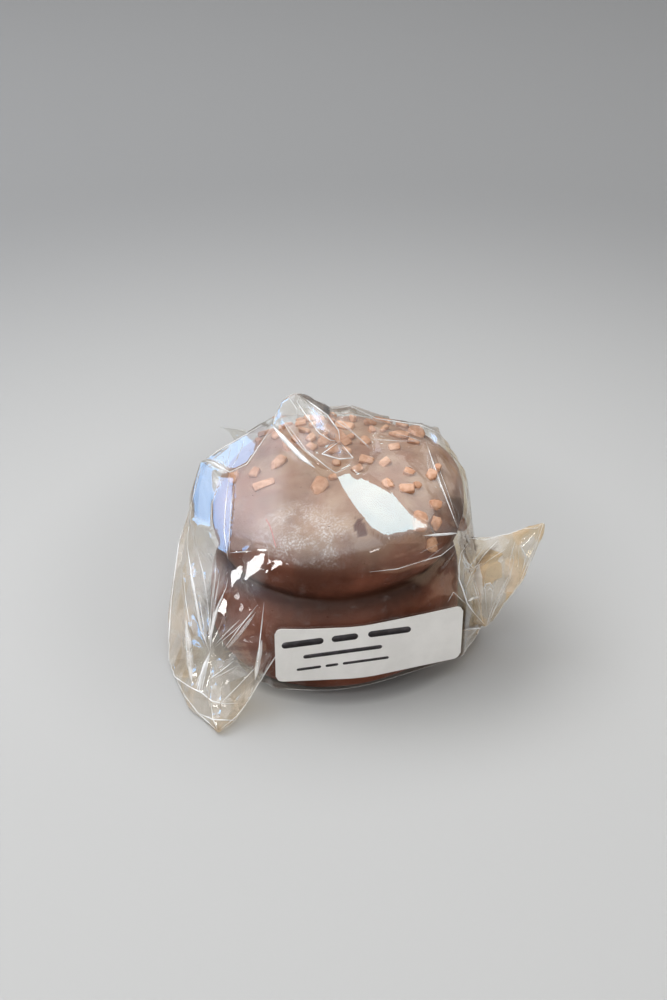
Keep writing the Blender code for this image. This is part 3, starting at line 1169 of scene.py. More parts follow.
    def crumbs(self, cake: Mesh, material: Material) -> Object:
        """Scatter small crumbs of coating over the cake.

        Args:
            cake: The cake's mesh.
            material: The crumbs' finish.

        Returns:
            All the crumbs as one piece.
        """
        values = {
            "Per Square Metre": self.crumbs_each_square_metre,
            "Least Gap": self.crumb_gap * MM,
            "Radius": self.crumb_radius * MM,
            "Seed": SEED,
            "Material": material,
        }
        kinds = {float: "NodeSocketFloat", int: "NodeSocketInt", Material: "NodeSocketMaterial"}
        tree, given = new_maker("crumb_scatter", {name: kinds[type(value)] for name, value in values.items()})
        spread = {
            "Mesh": given.outputs["Geometry"],
            "Distance Min": given.outputs["Least Gap"],
            "Density Max": given.outputs["Per Square Metre"],
            "Seed": given.outputs["Seed"],
        }
        points = add_node(tree, "GeometryNodeDistributePointsOnFaces", spread, distribute_method="POISSON")
        sizes = {0: self.crumb_least, 1: self.crumb_most, "Seed": given.outputs["Seed"]}
        laid = {
            "Points": points,
            "Instance": add_node(
                tree, "GeometryNodeMeshIcoSphere", {"Radius": given.outputs["Radius"], "Subdivisions": 1}
            ),
            "Rotation": points.outputs[2],
            "Scale": add_node(tree, "FunctionNodeRandomValue", sizes, data_type="FLOAT_VECTOR"),
        }
        end_maker(tree, add_node(tree, "GeometryNodeInstanceOnPoints", laid), given.outputs["Material"])
        return made_by("coating_crumbs", cake.copy(), tree, values)


# -------- film


@dataclass(frozen=True)
class CreaseLine:
    """A crease that shows in the photo."""

    pixels: tuple[Pixel, ...]  # its corners there
    thickness: float  # of the whitish pressed line along it, partly a painted glint, or 0 where there is none
    strength: float  # how much that line shows
    width: float = 1.0  # of the ridge that it makes in the film
    height: float = 0.0  # of that ridge, negative where it goes in


@dataclass(frozen=True)
class Pinch:
    """A place where the film is gathered, with creases that fan out from it."""

    pixel: Pixel
    reach: float
    pleats: float
    depth: float


@dataclass(frozen=True)
class Crumple:
    """A patch of film that is broken into small flat facets."""

    pixel: Pixel
    reach: float
    facet: float  # about how wide a facet is
    depth: float


LEFT_SHOULDER_CREASES = (
    (((204, 460), (218, 451), (232, 442.5), (247, 434), (262, 425)), 0.34, 0.9),
    (((206, 461), (214, 463), (222, 468), (230, 472)), 0.5, 0.8),
    (((214, 459), (222, 462), (230, 472)), 0.2, 0.6),
    (((231, 447), (228, 459), (230, 472)), 0.18, 0.45),
    (((246, 436), (240, 452), (230, 472)), 0.18, 0.45),
    (((216, 475), (217, 488), (212, 505), (211, 530)), 0.3, 0.35),
    (((204, 460), (230, 472), (247, 464), (272, 427)), 0.3, 0.9, 1.2, 0.12),
    (((230, 472), (226, 500), (224, 530), (228, 560)), 0.3, 0.8, 2.2, 0.3),
    (((236, 476), (231, 505), (229, 540), (230, 556)), 0.2, 0.7, 1.6, 0.2),
    (((192, 501), (201, 466)), 0.24, 0.8, 1.6, 0.2),
    (((229, 553), (252, 551)), 0.22, 0.6, 1.4, 0.2),
)
LEFT_GUSSET_CREASES = (
    (((191.5, 502), (179, 543), (171.5, 600), (168, 650), (168, 663)), 0.42, 1.0, 1.2),
    (((168, 663), (175, 677), (190, 687), (202, 693), (212, 701), (225, 704), (236, 703)), 0.3, 0.9, 1.8, 0.3),
    (((175, 677), (185, 696), (198, 713), (218, 731)), 0.26, 0.6, 1.2),
    (((218, 731), (236, 717), (251, 698), (264, 675), (277, 655)), 0.28, 0.8, 1.2),
    (((198, 713), (213, 719.5), (236, 720.5)), 0.3, 1.0, 1.6, 0.3),
    (((211, 702), (213, 719), (218, 731)), 0.24, 0.9, 1.6, 0.3),
    (((210, 652), (202, 672), (197, 690)), 0.5, 1.0, 1.8, 0.5),
    (((210, 653), (205, 675), (201, 693)), 0.3, 0.9, 1.6, -0.3),
    (((187, 543), (189, 558), (196, 599), (201, 629), (209, 651)), 0.3, 0.9, 2.2, 0.5),
    (((228, 578), (226, 588), (217, 608), (212, 631), (210, 651)), 0.3, 0.9, 2.4, 0.6),
    (((214, 578), (211.5, 602), (210, 631)), 0.2, 0.6, 1.8, -0.4),
    (((183, 572), (186, 602), (189, 620), (195, 638)), 0.2, 0.6, 1.8, 0.4),
    (((184, 618), (189, 640), (192, 686)), 0.2, 0.5, 2.4, 0.5),
    (((192, 502), (187, 543)), 0.2, 0.6, 1.8, 0.3),
    (((186, 620), (189, 645), (192, 684)), 1.7, 0.34),
    (((189, 560), (196, 600), (202, 632), (209, 650)), 0.9, 0.45),
    (((225, 590), (216, 612), (211, 634), (210, 650)), 0.8, 0.5),
    (((208, 656), (202, 675), (199, 692)), 1.1, 0.6),
    (((256, 612), (241, 632), (226, 650)), 0.9, 0.25),
    (((262, 640), (258, 662), (255, 680)), 1.2, 0.4),
    (((196, 546), (203, 572), (208, 604), (210, 640)), 0.34, 0.5, 1.6, 0.4),
    (((216, 552), (215, 580), (212, 610)), 0.3, 0.4, 1.6, 0.4),
    (((258, 604), (240, 627), (223, 650)), 0.22, 0.7, 1.6, 0.3),
    (((264, 603), (260, 640), (256, 679)), 0.3, 0.9, 1.8, 0.4),
    (((256, 667), (238, 686), (221, 703)), 0.24, 0.7, 1.8, 0.4),
    (((235, 660), (221, 671), (208, 680)), 0.26, 0.9, 1.6, 0.4),
    (((237, 666), (224, 673), (214, 678)), 0.22, 0.8, 1.4, -0.3),
    (((277, 654), (268, 668), (259, 683)), 0.34, 0.8, 2.2, 0.5),
)
TOP_CREASES = (
    (((272.6, 426), (285, 440), (301, 457), (315, 468)), 1.3, 1.0, 2.4, 0.5),
    (((300, 395), (327, 415), (338.5, 430.5), (340, 441.5)), 0.36, 1.0),
    (((300, 395), (297, 402), (308, 418), (319, 433), (330, 440), (340, 441.5)), 0.3, 0.9),
    (((277, 410), (281, 398), (288, 393), (301, 392.6), (315, 398), (326, 402), (329, 410)), 0.26, 0.6),
    (((287, 395), (297, 409.5), (297, 417)), 0.3, 0.5, 1.4, 0.2),
    (((277, 410), (275, 418), (273, 426)), 0.3, 0.7),
    (((301, 392.6), (309, 407), (322, 424), (333, 436)), 0.2, 0.5, 1.4, 0.25),
    (((281, 418), (290, 433), (302, 448), (318, 462)), 0.24, 0.5, 1.4, 0.25),
    (((353, 459), (347, 468), (336, 473), (327, 467), (306, 450), (290, 428), (281, 418)), 0.26, 0.6, 1.6, 0.3),
    (((340, 442), (353, 458), (339, 459), (322, 454), (340, 441)), 0.34, 1.0, 1.4, 0.3),
    (((330, 417), (352, 432), (372, 449)), 0.22, 0.6, 1.4, 0.3),
    (((339, 418), (355, 434), (371, 450)), 0.18, 0.5, 1.4, -0.3),
    (((329, 409.5), (350, 406), (376, 418.5), (421, 425.5), (442, 434), (442, 441)), 0.3, 0.8, 1.4, 0.2),
    (((372, 439), (400, 441), (424, 441)), 0.2, 0.5, 1.4, 0.3),
    (((393, 434), (410, 437), (421, 441)), 0.18, 0.5, 1.2, -0.2),
)
RIGHT_CREASES = (
    (((426, 442), (440, 482), (458, 529)), 0.3, 0.8, 2.2, 0.5),
    (((434, 456), (446, 487), (456, 517)), 0.16, 0.4, 1.6, -0.4),
    (((428, 444), (434, 470), (444, 495)), 0.18, 0.4, 1.6, 0.3),
    (((424, 535.7), (442, 534.5), (459, 533)), 0.6, 1.0, 2.0, 0.5),
    (((463, 538), (441, 555.5), (397, 569), (369, 572)), 0.22, 0.5, 3.2, 0.6),
    (((282, 562), (301, 566.5), (315, 560), (337, 555), (369, 550), (410, 537)), 0.0, 0.8, 2.4, 0.3),
)
EAR_CREASES = (
    (((464, 538), (475, 538.5), (485, 540), (499, 535.7), (517, 528.6), (537, 528), (544, 521)), 0.28, 0.7),
    (((544, 521), (540, 534), (533, 554), (525, 577), (511, 600), (490, 624)), 0.34, 0.8),
    (
        ((468, 543), (461, 553), (459, 565), (459, 579), (463, 590), (467, 603), (474, 613), (486, 626)),
        0.34, 0.9, 1.6, 0.3,
    ),
    (((463, 550), (464, 558), (469, 567), (474, 561), (484, 547)), 0.26, 0.6, 1.6, 0.3),
    (((467, 585), (479, 567), (492, 558), (507, 548)), 0.2, 0.5, 2.2, 0.5),
    (((487, 625), (493, 606), (501, 590), (508, 575)), 0.22, 0.5, 1.8, 0.4),
    (((515, 541), (511, 556), (508, 571)), 0.2, 0.5, 1.8, 0.4),
    (((520, 541), (518, 556), (519, 570)), 0.16, 0.4, 1.6, -0.3),
    (((448, 602), (453.5, 592), (466, 604)), 0.18, 0.4, 1.4, 0.2),
    (((464, 629.5), (486, 627.5)), 0.36, 0.9, 1.2, 0.2),
    (((484, 589), (486, 584), (490, 583), (493, 588)), 0.5, 0.9, 1.0, 0.2),
    (((487, 591), (490, 588), (493, 592)), 0.3, 0.7, 1.0, 0.2),
    (((468, 601), (473, 598), (479, 597)), 0.7, 0.9, 1.0, 0.2),
    (((462, 552), (465, 561), (473, 568), (482, 563)), 0.36, 0.8, 1.2, 0.3),
    (((461, 557), (466, 567), (477, 571)), 0.3, 0.7, 1.2, 0.3),
    (((540, 526), (536, 541), (529, 561), (521, 580), (507, 600)), 0.3, 0.6, 1.2),
    (((511, 545), (514, 560), (510, 577), (498, 603), (489, 622)), 0.22, 0.5, 1.8, 0.4),
    (((497, 541), (483, 556), (471, 574), (466, 588)), 0.3, 0.6, 1.8, 0.4),
    (((520, 545), (526, 556), (522, 572)), 0.4, 0.6, 1.4, 0.3),
)
ALL_CREASES = tuple(
    CreaseLine(*row)
    for row in LEFT_SHOULDER_CREASES + LEFT_GUSSET_CREASES + TOP_CREASES + RIGHT_CREASES + EAR_CREASES
)

PINCHES = (
    Pinch((428, 442), 18.0, 11.0, 0.25),
    Pinch((461, 536), 17.0, 11.0, 0.3),
    Pinch((210, 652), 22.0, 7.0, 0.5),
    Pinch((487, 627), 14.0, 13.0, 0.35),
    Pinch((466, 560), 9.0, 9.0, 0.25),
)

CRUMPLES = (
    Crumple((250, 568), 6.5, 2.3, 0.34),
    Crumple((352, 440), 6.0, 2.4, 0.2),
    Crumple((205, 600), 14.0, 4.8, 0.6),
    Crumple((205, 560), 9.0, 3.8, 0.4),
    Crumple((215, 685), 14.0, 5.0, 0.6),
    Crumple((500, 570), 13.0, 4.4, 0.6),
    Crumple((525, 545), 9.0, 3.4, 0.4),
    Crumple((214, 468), 5.0, 2.6, 0.12),
    Crumple((315, 415), 10.0, 4.0, 0.25),
    Crumple((445, 600), 9.0, 3.6, 0.25),
    Crumple((420, 585), 12.0, 5.0, 0.16),
    Crumple((300, 600), 12.0, 5.0, 0.12),
)


@dataclass(frozen=True)
class TautPatch:
    """A patch that is pulled flat, so that it mirrors one thing all over."""

    pixels: tuple[Pixel, ...]  # its corners in the photo
    toward: Place  # the direction that it mirrors to the viewer
    most: float = 1.3  # how far it may move off the film's rounded shape
    soft: float = 3.0  # pixels outside it over which the pull ends
    pivot: Pixel | None = None  # where it stays on the film's rounded shape, or else its middle
    creased: float = 0.04  # how much of the creasing is left
    most_out: float = 5.0  # how far it may move outwards, if that is less


WINDOW = (0.165, 0.42, 0.89)
SKY = (-0.88, 0.22, 0.40)
PALE_SKY = (-0.78, 0.30, 0.515)
SHOULDER_SKY = (-0.804, 0.284, 0.488)
DIM = (0.62, 0.45, 0.64)
LEFT_CARD = (-0.78, -0.57, 0.22)
RIGHT_CARD = (0.5, -0.7, 0.45)
RIGHT_DOME = (0.36, 0.56, 0.76)

TAUT_PATCHES = (
    TautPatch(
        ((364, 474), (381, 484), (398, 497), (413, 518), (427, 534), (436, 516), (424, 480), (404, 458), (376, 456)),
        RIGHT_DOME, 2.0, 2,
    ),
    TautPatch(((337, 420), (350, 415), (372, 425), (378, 450), (363, 470), (351, 462), (341, 441)), DIM, 4.0, 4),
    TautPatch(
        (
            (336, 474), (349, 470), (357, 479), (362, 475), (380, 485), (397, 497),
            (414, 517), (434, 539), (384, 542), (369, 530), (355, 512), (342, 490),
        ),
        WINDOW, 4.0, 1.5,
    ),
    TautPatch(
        ((203, 462), (216, 471), (213, 498), (210, 516), (209, 528), (193, 523), (192, 498)),
        SKY, 4.5, 4, (199, 490), most_out=1.0,
    ),
    TautPatch(
        ((213, 472), (233, 475), (232, 500), (229, 530), (228, 556), (219, 552), (208, 522), (209, 495)),
        PALE_SKY, 4.5, 1.5, (209, 490), most_out=1.0,
    ),
    TautPatch(
        ((205, 459), (228, 470), (247, 463), (270, 428), (262, 424), (232, 443)),
        SHOULDER_SKY, 3.0, 2, (240, 443), most_out=0.5,
    ),
    TautPatch(
        ((300, 397), (326, 414), (337, 430), (338, 440), (328, 437), (318, 431), (308, 417), (298, 403)),
        PALE_SKY, 3.5, 1.5,
    ),
    TautPatch(((341, 444), (351, 457), (339, 458), (326, 453)), PALE_SKY, 3.0, 1.5),
    TautPatch(((419, 434), (430, 431), (442, 436), (442, 444), (432, 443)), PALE_SKY, 1.5),
    TautPatch(((517, 541), (527, 533), (539, 529), (533, 540), (522, 547)), PALE_SKY, 1.5, 2),
    TautPatch(((493, 583), (498, 579), (507, 577), (503, 584), (496, 587)), RIGHT_CARD, 1.5, 1),
    TautPatch(
        ((227, 591), (228, 574), (234, 564), (242, 562), (243, 575), (236, 590)),
        LEFT_CARD, 2.5, 1.5, creased=0.3,
    ),
    TautPatch(
        ((243, 582), (245, 566), (251, 554), (266, 551), (266, 562), (259, 574), (249, 584)),
        LEFT_CARD, 2.5, 1.5, creased=0.3,
    ),
    TautPatch(((247, 590), (249, 583), (258, 577), (256, 585), (250, 592)), LEFT_CARD, 2.0, 1, creased=0.3),
    TautPatch(((262, 576), (264, 567), (270, 566), (269, 575)), LEFT_CARD, 2.0, 1, creased=0.3),
    TautPatch(((269, 572), (275, 563), (285, 557), (283, 565), (274, 574)), LEFT_CARD, 2.0, 1, creased=0.3),
)


@dataclass(frozen=True)
class FoldFan:
    """Fine folds that run out from a gathered place, between two turns in the photo (0 is right, 90 is up)."""

    pixel: Pixel
    turns: tuple[float, float]
    count: int
    reach: float  # pixels
    thickness: float = 0.16
    strength: float = 0.5
    turn_shares: Span = (0.2, 0.8)  # of its share of the turn, where each fold lies
    starts: Span = (0.03, 0.35)  # of the reach
    ends: Span = (0.45, 1.0)
    bends: Span = (-0.12, 0.12)  # radians
    longest: float = 0.6  # millimetres for each pixel of reach, past which a fold has jumped to the back
    thickness_shares: Span = (0.6, 1.3)
    strength_shares: Span = (0.5, 1.0)

    def lines(self, rng: np.random.Generator) -> Iterable[list[Pixel]]:
        """Draw the folds one by one.

        Args:
            rng: Where their lots are drawn from.

        Returns:
            Three pixels along each fold.
        """
        for index in range(self.count):
            share = (index + rng.uniform(*self.turn_shares)) / self.count
            turn = math.radians(self.turns[0] + (self.turns[1] - self.turns[0]) * share)
            start, end = rng.uniform(*self.starts), rng.uniform(*self.ends)
            bend = rng.uniform(*self.bends)
            yield [
                (
                    self.pixel[0] + self.reach * out * math.cos(turn + bend * out),
                    self.pixel[1] - self.reach * out * math.sin(turn + bend * out),
                )
                for out in (start, (start + end) / 2, end)
            ]


FOLD_FANS = (
    FoldFan((230, 473), (105, 165), 4, 22, 0.16, 0.7),
    FoldFan((427, 441), (262, 296), 3, 60, 0.15, 0.3),
    FoldFan((461, 535), (190, 226), 2, 70, 0.16, 0.25),
    FoldFan((461, 535), (264, 288), 2, 45, 0.18, 0.35),
    FoldFan((209, 652), (80, 112), 4, 80, 0.34, 0.55),
    FoldFan((209, 652), (35, 60), 2, 66, 0.3, 0.45),
    FoldFan((209, 652), (248, 280), 3, 48, 0.4, 0.7),
    FoldFan((487, 627), (62, 116), 5, 72, 0.26, 0.5),
    FoldFan((540, 528), (208, 248), 4, 48, 0.22, 0.5),
)


@dataclass
class ClearBag:
    """The shut bag: one sheet of film, wrapped round the cake and folded at its ends."""

    view: PhotoView
    merge_gap: float = 0.01  # the solid's loose corners nearer than this become one
    edge_limits: tuple[float, ...] = (16.0, 10.0, 6.4, 4.0, 2.6, 1.8, 1.3, 1.0)
    evened_down_to: float = 2.0
    flat_angle: float = 0.002
    softening: int = 2
    facet_widths: Span = (1.5, 2.6)  # the least and most of a facet's width that one wave of folds takes
    facet_depths: Span = (0.6, 1.2)
    plain_facet: float = 11.0  # of the faint creases all over
    plain_depth: float = 0.1
    crumple_ways: int = 5
    crumple_core: float = 0.5  # the share of its reach where a crumple is at its deepest
    least_gap: float = 0.12  # to the cake
    cake_reach: float = 3.0  # the film can only touch the cake where it is this close to it
    still_reach: Span = (1.5, 6.0)  # distances from the sticker between which the creases begin
    still_base: float = 2.0  # the height below which they fade out
    lowest: float = 0.02
    shown_by: float = -0.05  # the least that a face points at the viewer where a patch is taut
    crease_shown_by: float = -0.15  # and where a crease is
    crease_end: float = 0.15  # the share of its length over which a crease rises
    crease_end_height: float = 0.35  # of its full height
    pivot_reach: float = 5.0  # pixels
    pivot_depth: float = 3.0
    pleat_start: float = 5.0  # from a pinch
    pleat_fade: float = 0.45  # the share of its reach where the pleats begin to fade
    pleat_wander: tuple[float, float] = (0.3, 12.5)  # how far they swing from side to side, and how often
    fine_pleats: tuple[float, float, float] = (0.45, 2.0, 0.27)  # the depth, number and shift of those in between
    pleat_shown_by: Span = (-0.1, 0.5)
    ear: tuple[Span, Span] = ((29.5, 34.0), (-2.0, 5.0))  # where its spare film begins across, and ends in depth
    band: tuple[Span, Span] = ((22.0, 30.0), (-6.0, 4.0))  # where the film lies behind itself on the right
    band_layers: float = 0.9
    gusset_layers: float = 0.5
    gusset_beside: Span = (-37.5, -33.0)  # across
    gusset_before: tuple[Span, Span] = ((-37.0, -33.0), (-18.0, -12.0))  # in depth and across
    gusset_top: Span = (36.0, 42.0)
    gusset_haze: float = 0.2
    ear_haze: tuple[Span, float] = ((33.0, 37.0), 0.16)
    top_haze: tuple[Span, float] = ((52.0, 56.0), 0.07)
    front: float = 352.0  # the farthest from the camera that the film's front side is
    upper_front: float = 358.0  # and the ridge over it
    mark_edge: float = 2.5  # pixels over which a marked area comes up
    hazy_and_highlight_spots: tuple[tuple[Pixel, float, float], ...] = (  # middle, reach and depth of whitish patches: crinkled film, partly painted highlights
        ((497, 577), 32.0, 0.42),
        ((203, 572), 28.0, 0.3),
        ((213, 470), 16.0, 0.08),
        ((246, 573), 26.0, 0.1),
        ((466, 575), 12.0, 0.06),
        ((441, 437), 10.0, 0.25),
    )
    spot_core: float = 0.4  # the share of its reach where a spot is at its deepest
    spot_squash: float = 0.8  # how tall it is for its width
    painted_highlight_facets: tuple[Area, ...] = (  # painted highlights: small facets made white where they shine
        (((207, 463), (228, 472), (224, 475), (208, 468)), 0.4),
        (((214, 480), (223, 479), (218, 490)), 0.35),
        (((300, 396), (318, 407), (331, 420), (339, 432), (339, 441), (328, 438), (317, 431), (307, 417)), 0.2),
        (((341, 444), (352, 457), (339, 459), (325, 454)), 0.2),
    )
    edge_on_and_painted_shade_areas: tuple[Area, ...] = (  # where folded film is seen edge on, and painted shade in shaded folds, pockets and behind the crest
        (((296, 392), (308, 392), (319, 397), (329, 403), (330, 417), (322, 411), (312, 404), (301, 396)), 0.85),
        (((276, 411), (281, 397), (289, 391), (297, 393), (298, 403), (297, 417), (286, 416), (279, 420)), 0.12),
        (((216, 433), (230, 430), (230, 421), (246, 425), (246, 432), (232, 437), (220, 439)), 1.0),
        (((246, 426), (262, 421), (272, 426), (262, 432), (250, 434)), 0.5),
        (((451, 498), (463, 498), (476, 534), (473, 546), (462, 556), (459, 541), (461, 535)), 0.55),
        (((462, 547), (469, 541), (478, 545), (472, 562), (465, 557)), 0.45),
        (((476, 562), (486, 551), (498, 545), (489, 557), (473, 578)), 0.45),
        (((461, 604), (475, 622), (486, 628), (463, 630)), 0.6),
        (((330, 409), (350, 405), (352, 409), (338, 412)), 0.5),
        (((350, 405), (376, 414), (421, 421), (442, 431), (441, 440), (418, 429), (376, 423), (352, 412)), 0.25),
        (((204, 461), (213, 471), (213, 500), (209, 521), (194, 516), (191, 490)), 0.45),
        (((207, 459), (247, 435), (264, 424), (268, 430), (246, 462), (230, 470)), 0.3),
    )
    hem_painted_veil: tuple[tuple[float, float, float], ...] = (  # across, down and depth of a painted veil of mirrored light, as haze where the film leaves the dome
        (226, 553, 0.12),
        (252, 551, 0.12),
        (282, 562, 0.1),
        (301, 566, 0.08),
        (337, 556, 0.04),
        (369, 550, 0.05),
        (410, 537, 0.12),
        (436, 535, 0.05),
        (460, 533, 0.0),
    )
    hem_edge: Span = (0.0, 1.5)  # pixels above it over which the haze comes up
    hem_fade: Span = (4.0, 30.0)  # and fades out
    line_end: float = 0.1  # how thin a pressed fold is at its ends
    line_taper: float = 3.4  # how fast it thickens
    bead_sides: int = 6
    fibre: tuple[Pixel, ...] = ((266, 519), (269.5, 525), (272, 532), (274, 540), (276, 547))
    fibre_radius: float = 0.11

    def base(self, node: Object) -> Mesh:
        """A merged copy of the bag's solid, cut finely enough to crease.

        Args:
            node: The bag's solid.

        Returns:
            The film's mesh, still smooth.
        """
        sheet = bmesh.new()
        sheet.from_mesh(node.data)
        bmesh.ops.remove_doubles(sheet, verts=sheet.verts, dist=self.merge_gap * MM)
        for limit in self.edge_limits:
            long_edges = [edge for edge in sheet.edges if edge.calc_length() > limit * MM]
            bmesh.ops.subdivide_edges(sheet, edges=long_edges, cuts=1)
            bmesh.ops.triangulate(sheet, faces=[face for face in sheet.faces if len(face.verts) > 3])
            if limit > self.evened_down_to:
                flat = [e for e in sheet.edges if len(e.link_faces) == 2 and e.calc_face_angle(0.0) < self.flat_angle]
                bmesh.ops.beautify_fill(sheet, faces=sheet.faces[:], edges=flat, use_restrict_tag=False, method="ANGLE")
        for _ in range(self.softening):
            bmesh.ops.smooth_vert(
                sheet, verts=sheet.verts, factor=0.5, use_axis_x=True, use_axis_y=True, use_axis_z=True
            )
        mesh = bpy.data.meshes.new("bag_film")
        sheet.to_mesh(mesh)
        sheet.free()
        mesh.shade_smooth()
        return mesh

    def facing(self, normals: np.ndarray) -> np.ndarray:
        """How far each normal points at the viewer, from -1 to 1."""
        return normals @ -np.array(self.view.axes[2])

    def stillness(self, places: np.ndarray, label: Object) -> np.ndarray:
        """How free the film is to crease, from 0 behind the sticker to 1 away from it.

        Args:
            places: The film's points.
            label: The sticker.

        Returns:
            One share for each point.
        """
        spots = places_of(label.data)
        tree = KDTree(len(spots))
        for index, spot in enumerate(spots):
            tree.insert(spot, index)
        tree.balance()
        low, high = spots.min(0) - self.still_reach[1], spots.max(0) + self.still_reach[1]
        near = ((places > low) & (places < high)).all(1)
        away = np.full(len(places), self.still_reach[1])
        away[near] = [tree.find(place)[2] for place in places[near]]
        return smooth_step(*self.still_reach, away)

    def ridges(self, places: np.ndarray, normals: np.ndarray, film: BVHTree) -> np.ndarray:
        """How far the named creases push each point out.

        Args:
            places: The film's points.
            normals: Their normals.
            film: The film's surface.

        Returns:
            One distance for each point.
        """
        push = np.zeros(len(places))
        for crease in ALL_CREASES:
            trail = np.array(self.view.trail(film, crease.pixels))
            if crease.height == 0 or len(trail) < 2:
                continue
            low, high = trail.min(0) - crease.width, trail.max(0) + crease.width
            near = np.flatnonzero(((places > low) & (places < high)).all(1))
            away, along = distance_to(places[near], trail)
            ends = smooth_step(0.0, self.crease_end, np.minimum(along, 1 - along))
            swell = np.clip(1 - (away / crease.width) ** 2, 0, 1) ** 2
            rise = self.crease_end_height + (1 - self.crease_end_height) * ends
            push[near] += crease.height * swell * rise * (self.facing(normals[near]) > self.crease_shown_by)
        return push

    def tauten(self, places: np.ndarray, normals: np.ndarray) -> tuple[np.ndarray, np.ndarray]:
        """Pull the taut patches flat.

        Args:
            places: The film's points.
            normals: Their normals.

        Returns:
            The moved points, and how much of each point's creasing is left, from 0 to 1.
        """
        station = np.array(self.view.station)
        loose = np.ones(len(places))
        pixels = self.view.pixels_of(places)
        shown = self.facing(normals) > self.shown_by
        far_off = np.linalg.norm(places - station, axis=1)
        for patch in TAUT_PATCHES:
            depth = inside_by(pixels, np.array(patch.pixels))
            pivot = pixels[(depth > 0) & shown].mean(0) if patch.pivot is None else np.array(patch.pivot)
            aside = np.where(shown, np.hypot(*(pixels - pivot).T), np.inf)
            close = far_off[aside < self.pivot_reach]
            front = close.min() + self.pivot_depth if len(close) else np.inf
            middle = places[np.argmin(np.where(far_off > front, np.inf, aside))]
            sight = (middle - station) / np.linalg.norm(middle - station)
            normal = np.array(patch.toward) / np.linalg.norm(patch.toward) - sight
            normal /= np.linalg.norm(normal)
            inside = (depth > -patch.soft - 1) & shown
            off = np.clip((places[inside] - middle) @ normal, -min(patch.most, patch.most_out), patch.most)
            share = smooth_step(-patch.soft, 1.0, depth[inside])
            places[inside] -= off[:, None] * normal * share[:, None]
            loose[inside] = np.minimum(loose[inside], 1 - (1 - patch.creased) * share)
        return places, loose

    def fans(self, places: np.ndarray, normals: np.ndarray, film: BVHTree) -> np.ndarray:
        """How far the pleats that fan from the pinches push each point out.

        Args:
            places: The film's points.
            normals: Their normals.
            film: The film's surface.

        Returns:
            One distance for each point.
        """
        push = np.zeros(len(places))
        swing, often = self.pleat_wander
        fine, times, shift = self.fine_pleats
        for pinch in PINCHES:
            centre, normal = self.view.near_hit(film, pinch.pixel)
            across = normal.orthogonal().normalized()
            away = places - np.array(centre)
            distance = np.linalg.norm(away, axis=1)
            turn = np.arctan2(away @ np.array(normal.cross(across)), away @ np.array(across)) / (2 * math.pi)
            wave = zigzag(turn * pinch.pleats + swing * np.sin(turn * often))
            wave += fine * zigzag(turn * pinch.pleats * times + shift)
            rise = smooth_step(0, self.pleat_start, distance)
            rise *= 1 - smooth_step(pinch.reach * self.pleat_fade, pinch.reach, distance)
            push += pinch.depth * wave * rise * smooth_step(*self.pleat_shown_by, normals @ np.array(normal))
        return push

    def facets(self, places: np.ndarray, width: float, seed: int, ways: int = 4) -> np.ndarray:
        """Flat facets, made by folding space along random planes.

        Args:
            places: The film's points.
            width: About how wide a facet is.
            seed: What its lots are drawn from.
            ways: In how many directions it folds.

        Returns:
            How far each point is pushed out, from about -1 to 1.
        """
        rng = np.random.default_rng(seed)
        push = np.zeros(len(places))
        for _ in range(ways):
            way = rng.normal(size=3)
            way /= np.linalg.norm(way)
            wave = zigzag(places @ way / (width * rng.uniform(*self.facet_widths)) + rng.random())
            push += wave * rng.uniform(*self.facet_depths)
        return push / ways**0.5

    def crumpled(self, places: np.ndarray, film: BVHTree) -> np.ndarray:
        """How far the crumples push each point out.

        Args:
            places: The film's points.
            film: The film's surface.

        Returns:
            One distance for each point.
        """
        push = self.plain_depth * self.facets(places, self.plain_facet, SEED + 3)
        for index, crumple in enumerate(CRUMPLES):
            centre, _ = self.view.near_hit(film, crumple.pixel)
            away = np.linalg.norm(places - np.array(centre), axis=1)
            near = 1 - smooth_step(crumple.reach * self.crumple_core, crumple.reach, away)
            push += near * crumple.depth * self.facets(places, crumple.facet, SEED + 10 + index, self.crumple_ways)
        return push

    def clear_of(self, cake: BVHTree, places: np.ndarray) -> np.ndarray:
        """Move the film out wherever it would touch the cake."""
        for index, place in enumerate(places):
            spot, normal, _, _ = cake.find_nearest(Vector(place), self.cake_reach)
            if spot is not None and (Vector(place) - spot).dot(normal) < self.least_gap:
                places[index] = spot + normal * self.least_gap
        return places

    def build(self, base: Mesh, label: Object, cake: BVHTree) -> Mesh:
        """Crease the film.

        Args:
            base: The finely cut film.
            label: The sticker, which keeps the film behind it flat.
            cake: The cake, which the film stays clear of.

        Returns:
            The film's mesh.
        """
        flat_film = surface_tree(base)
        places, normals = places_of(base), normals_of(base)
        places, loose = self.tauten(places, normals)
        push = self.ridges(places, normals, flat_film)
        push += self.fans(places, normals, flat_film)
        push += self.crumpled(places, flat_film)
        push *= loose * self.stillness(places, label) * smooth_step(0.0, self.still_base, places[:, 2])
        places = self.clear_of(cake, places + normals * push[:, None])
        places[:, 2] = np.maximum(places[:, 2], self.lowest)
        move_points(base, places)
        store(base, "layers", self.layers(places))
        store(base, "haze", self.haze(places))
        store(base, "smoked", self.marked(places, self.edge_on_and_painted_shade_areas, self.upper_front, -1.5))
        return base

    def layers(self, places: np.ndarray) -> np.ndarray:
        """How much spare film lies behind itself at each point, from 0 to 1.

        Args:
            places: The film's points.

        Returns:
            One share for each point.
        """
        x, y, _ = places.T
        ear = smooth_step(*self.ear[0], x) * (1 - smooth_step(*self.ear[1], y))
        band = smooth_step(*self.band[0], x) * smooth_step(*self.band[1], y) * self.band_layers
        return np.maximum.reduce([ear, self.gusset(places) * self.gusset_layers, band])

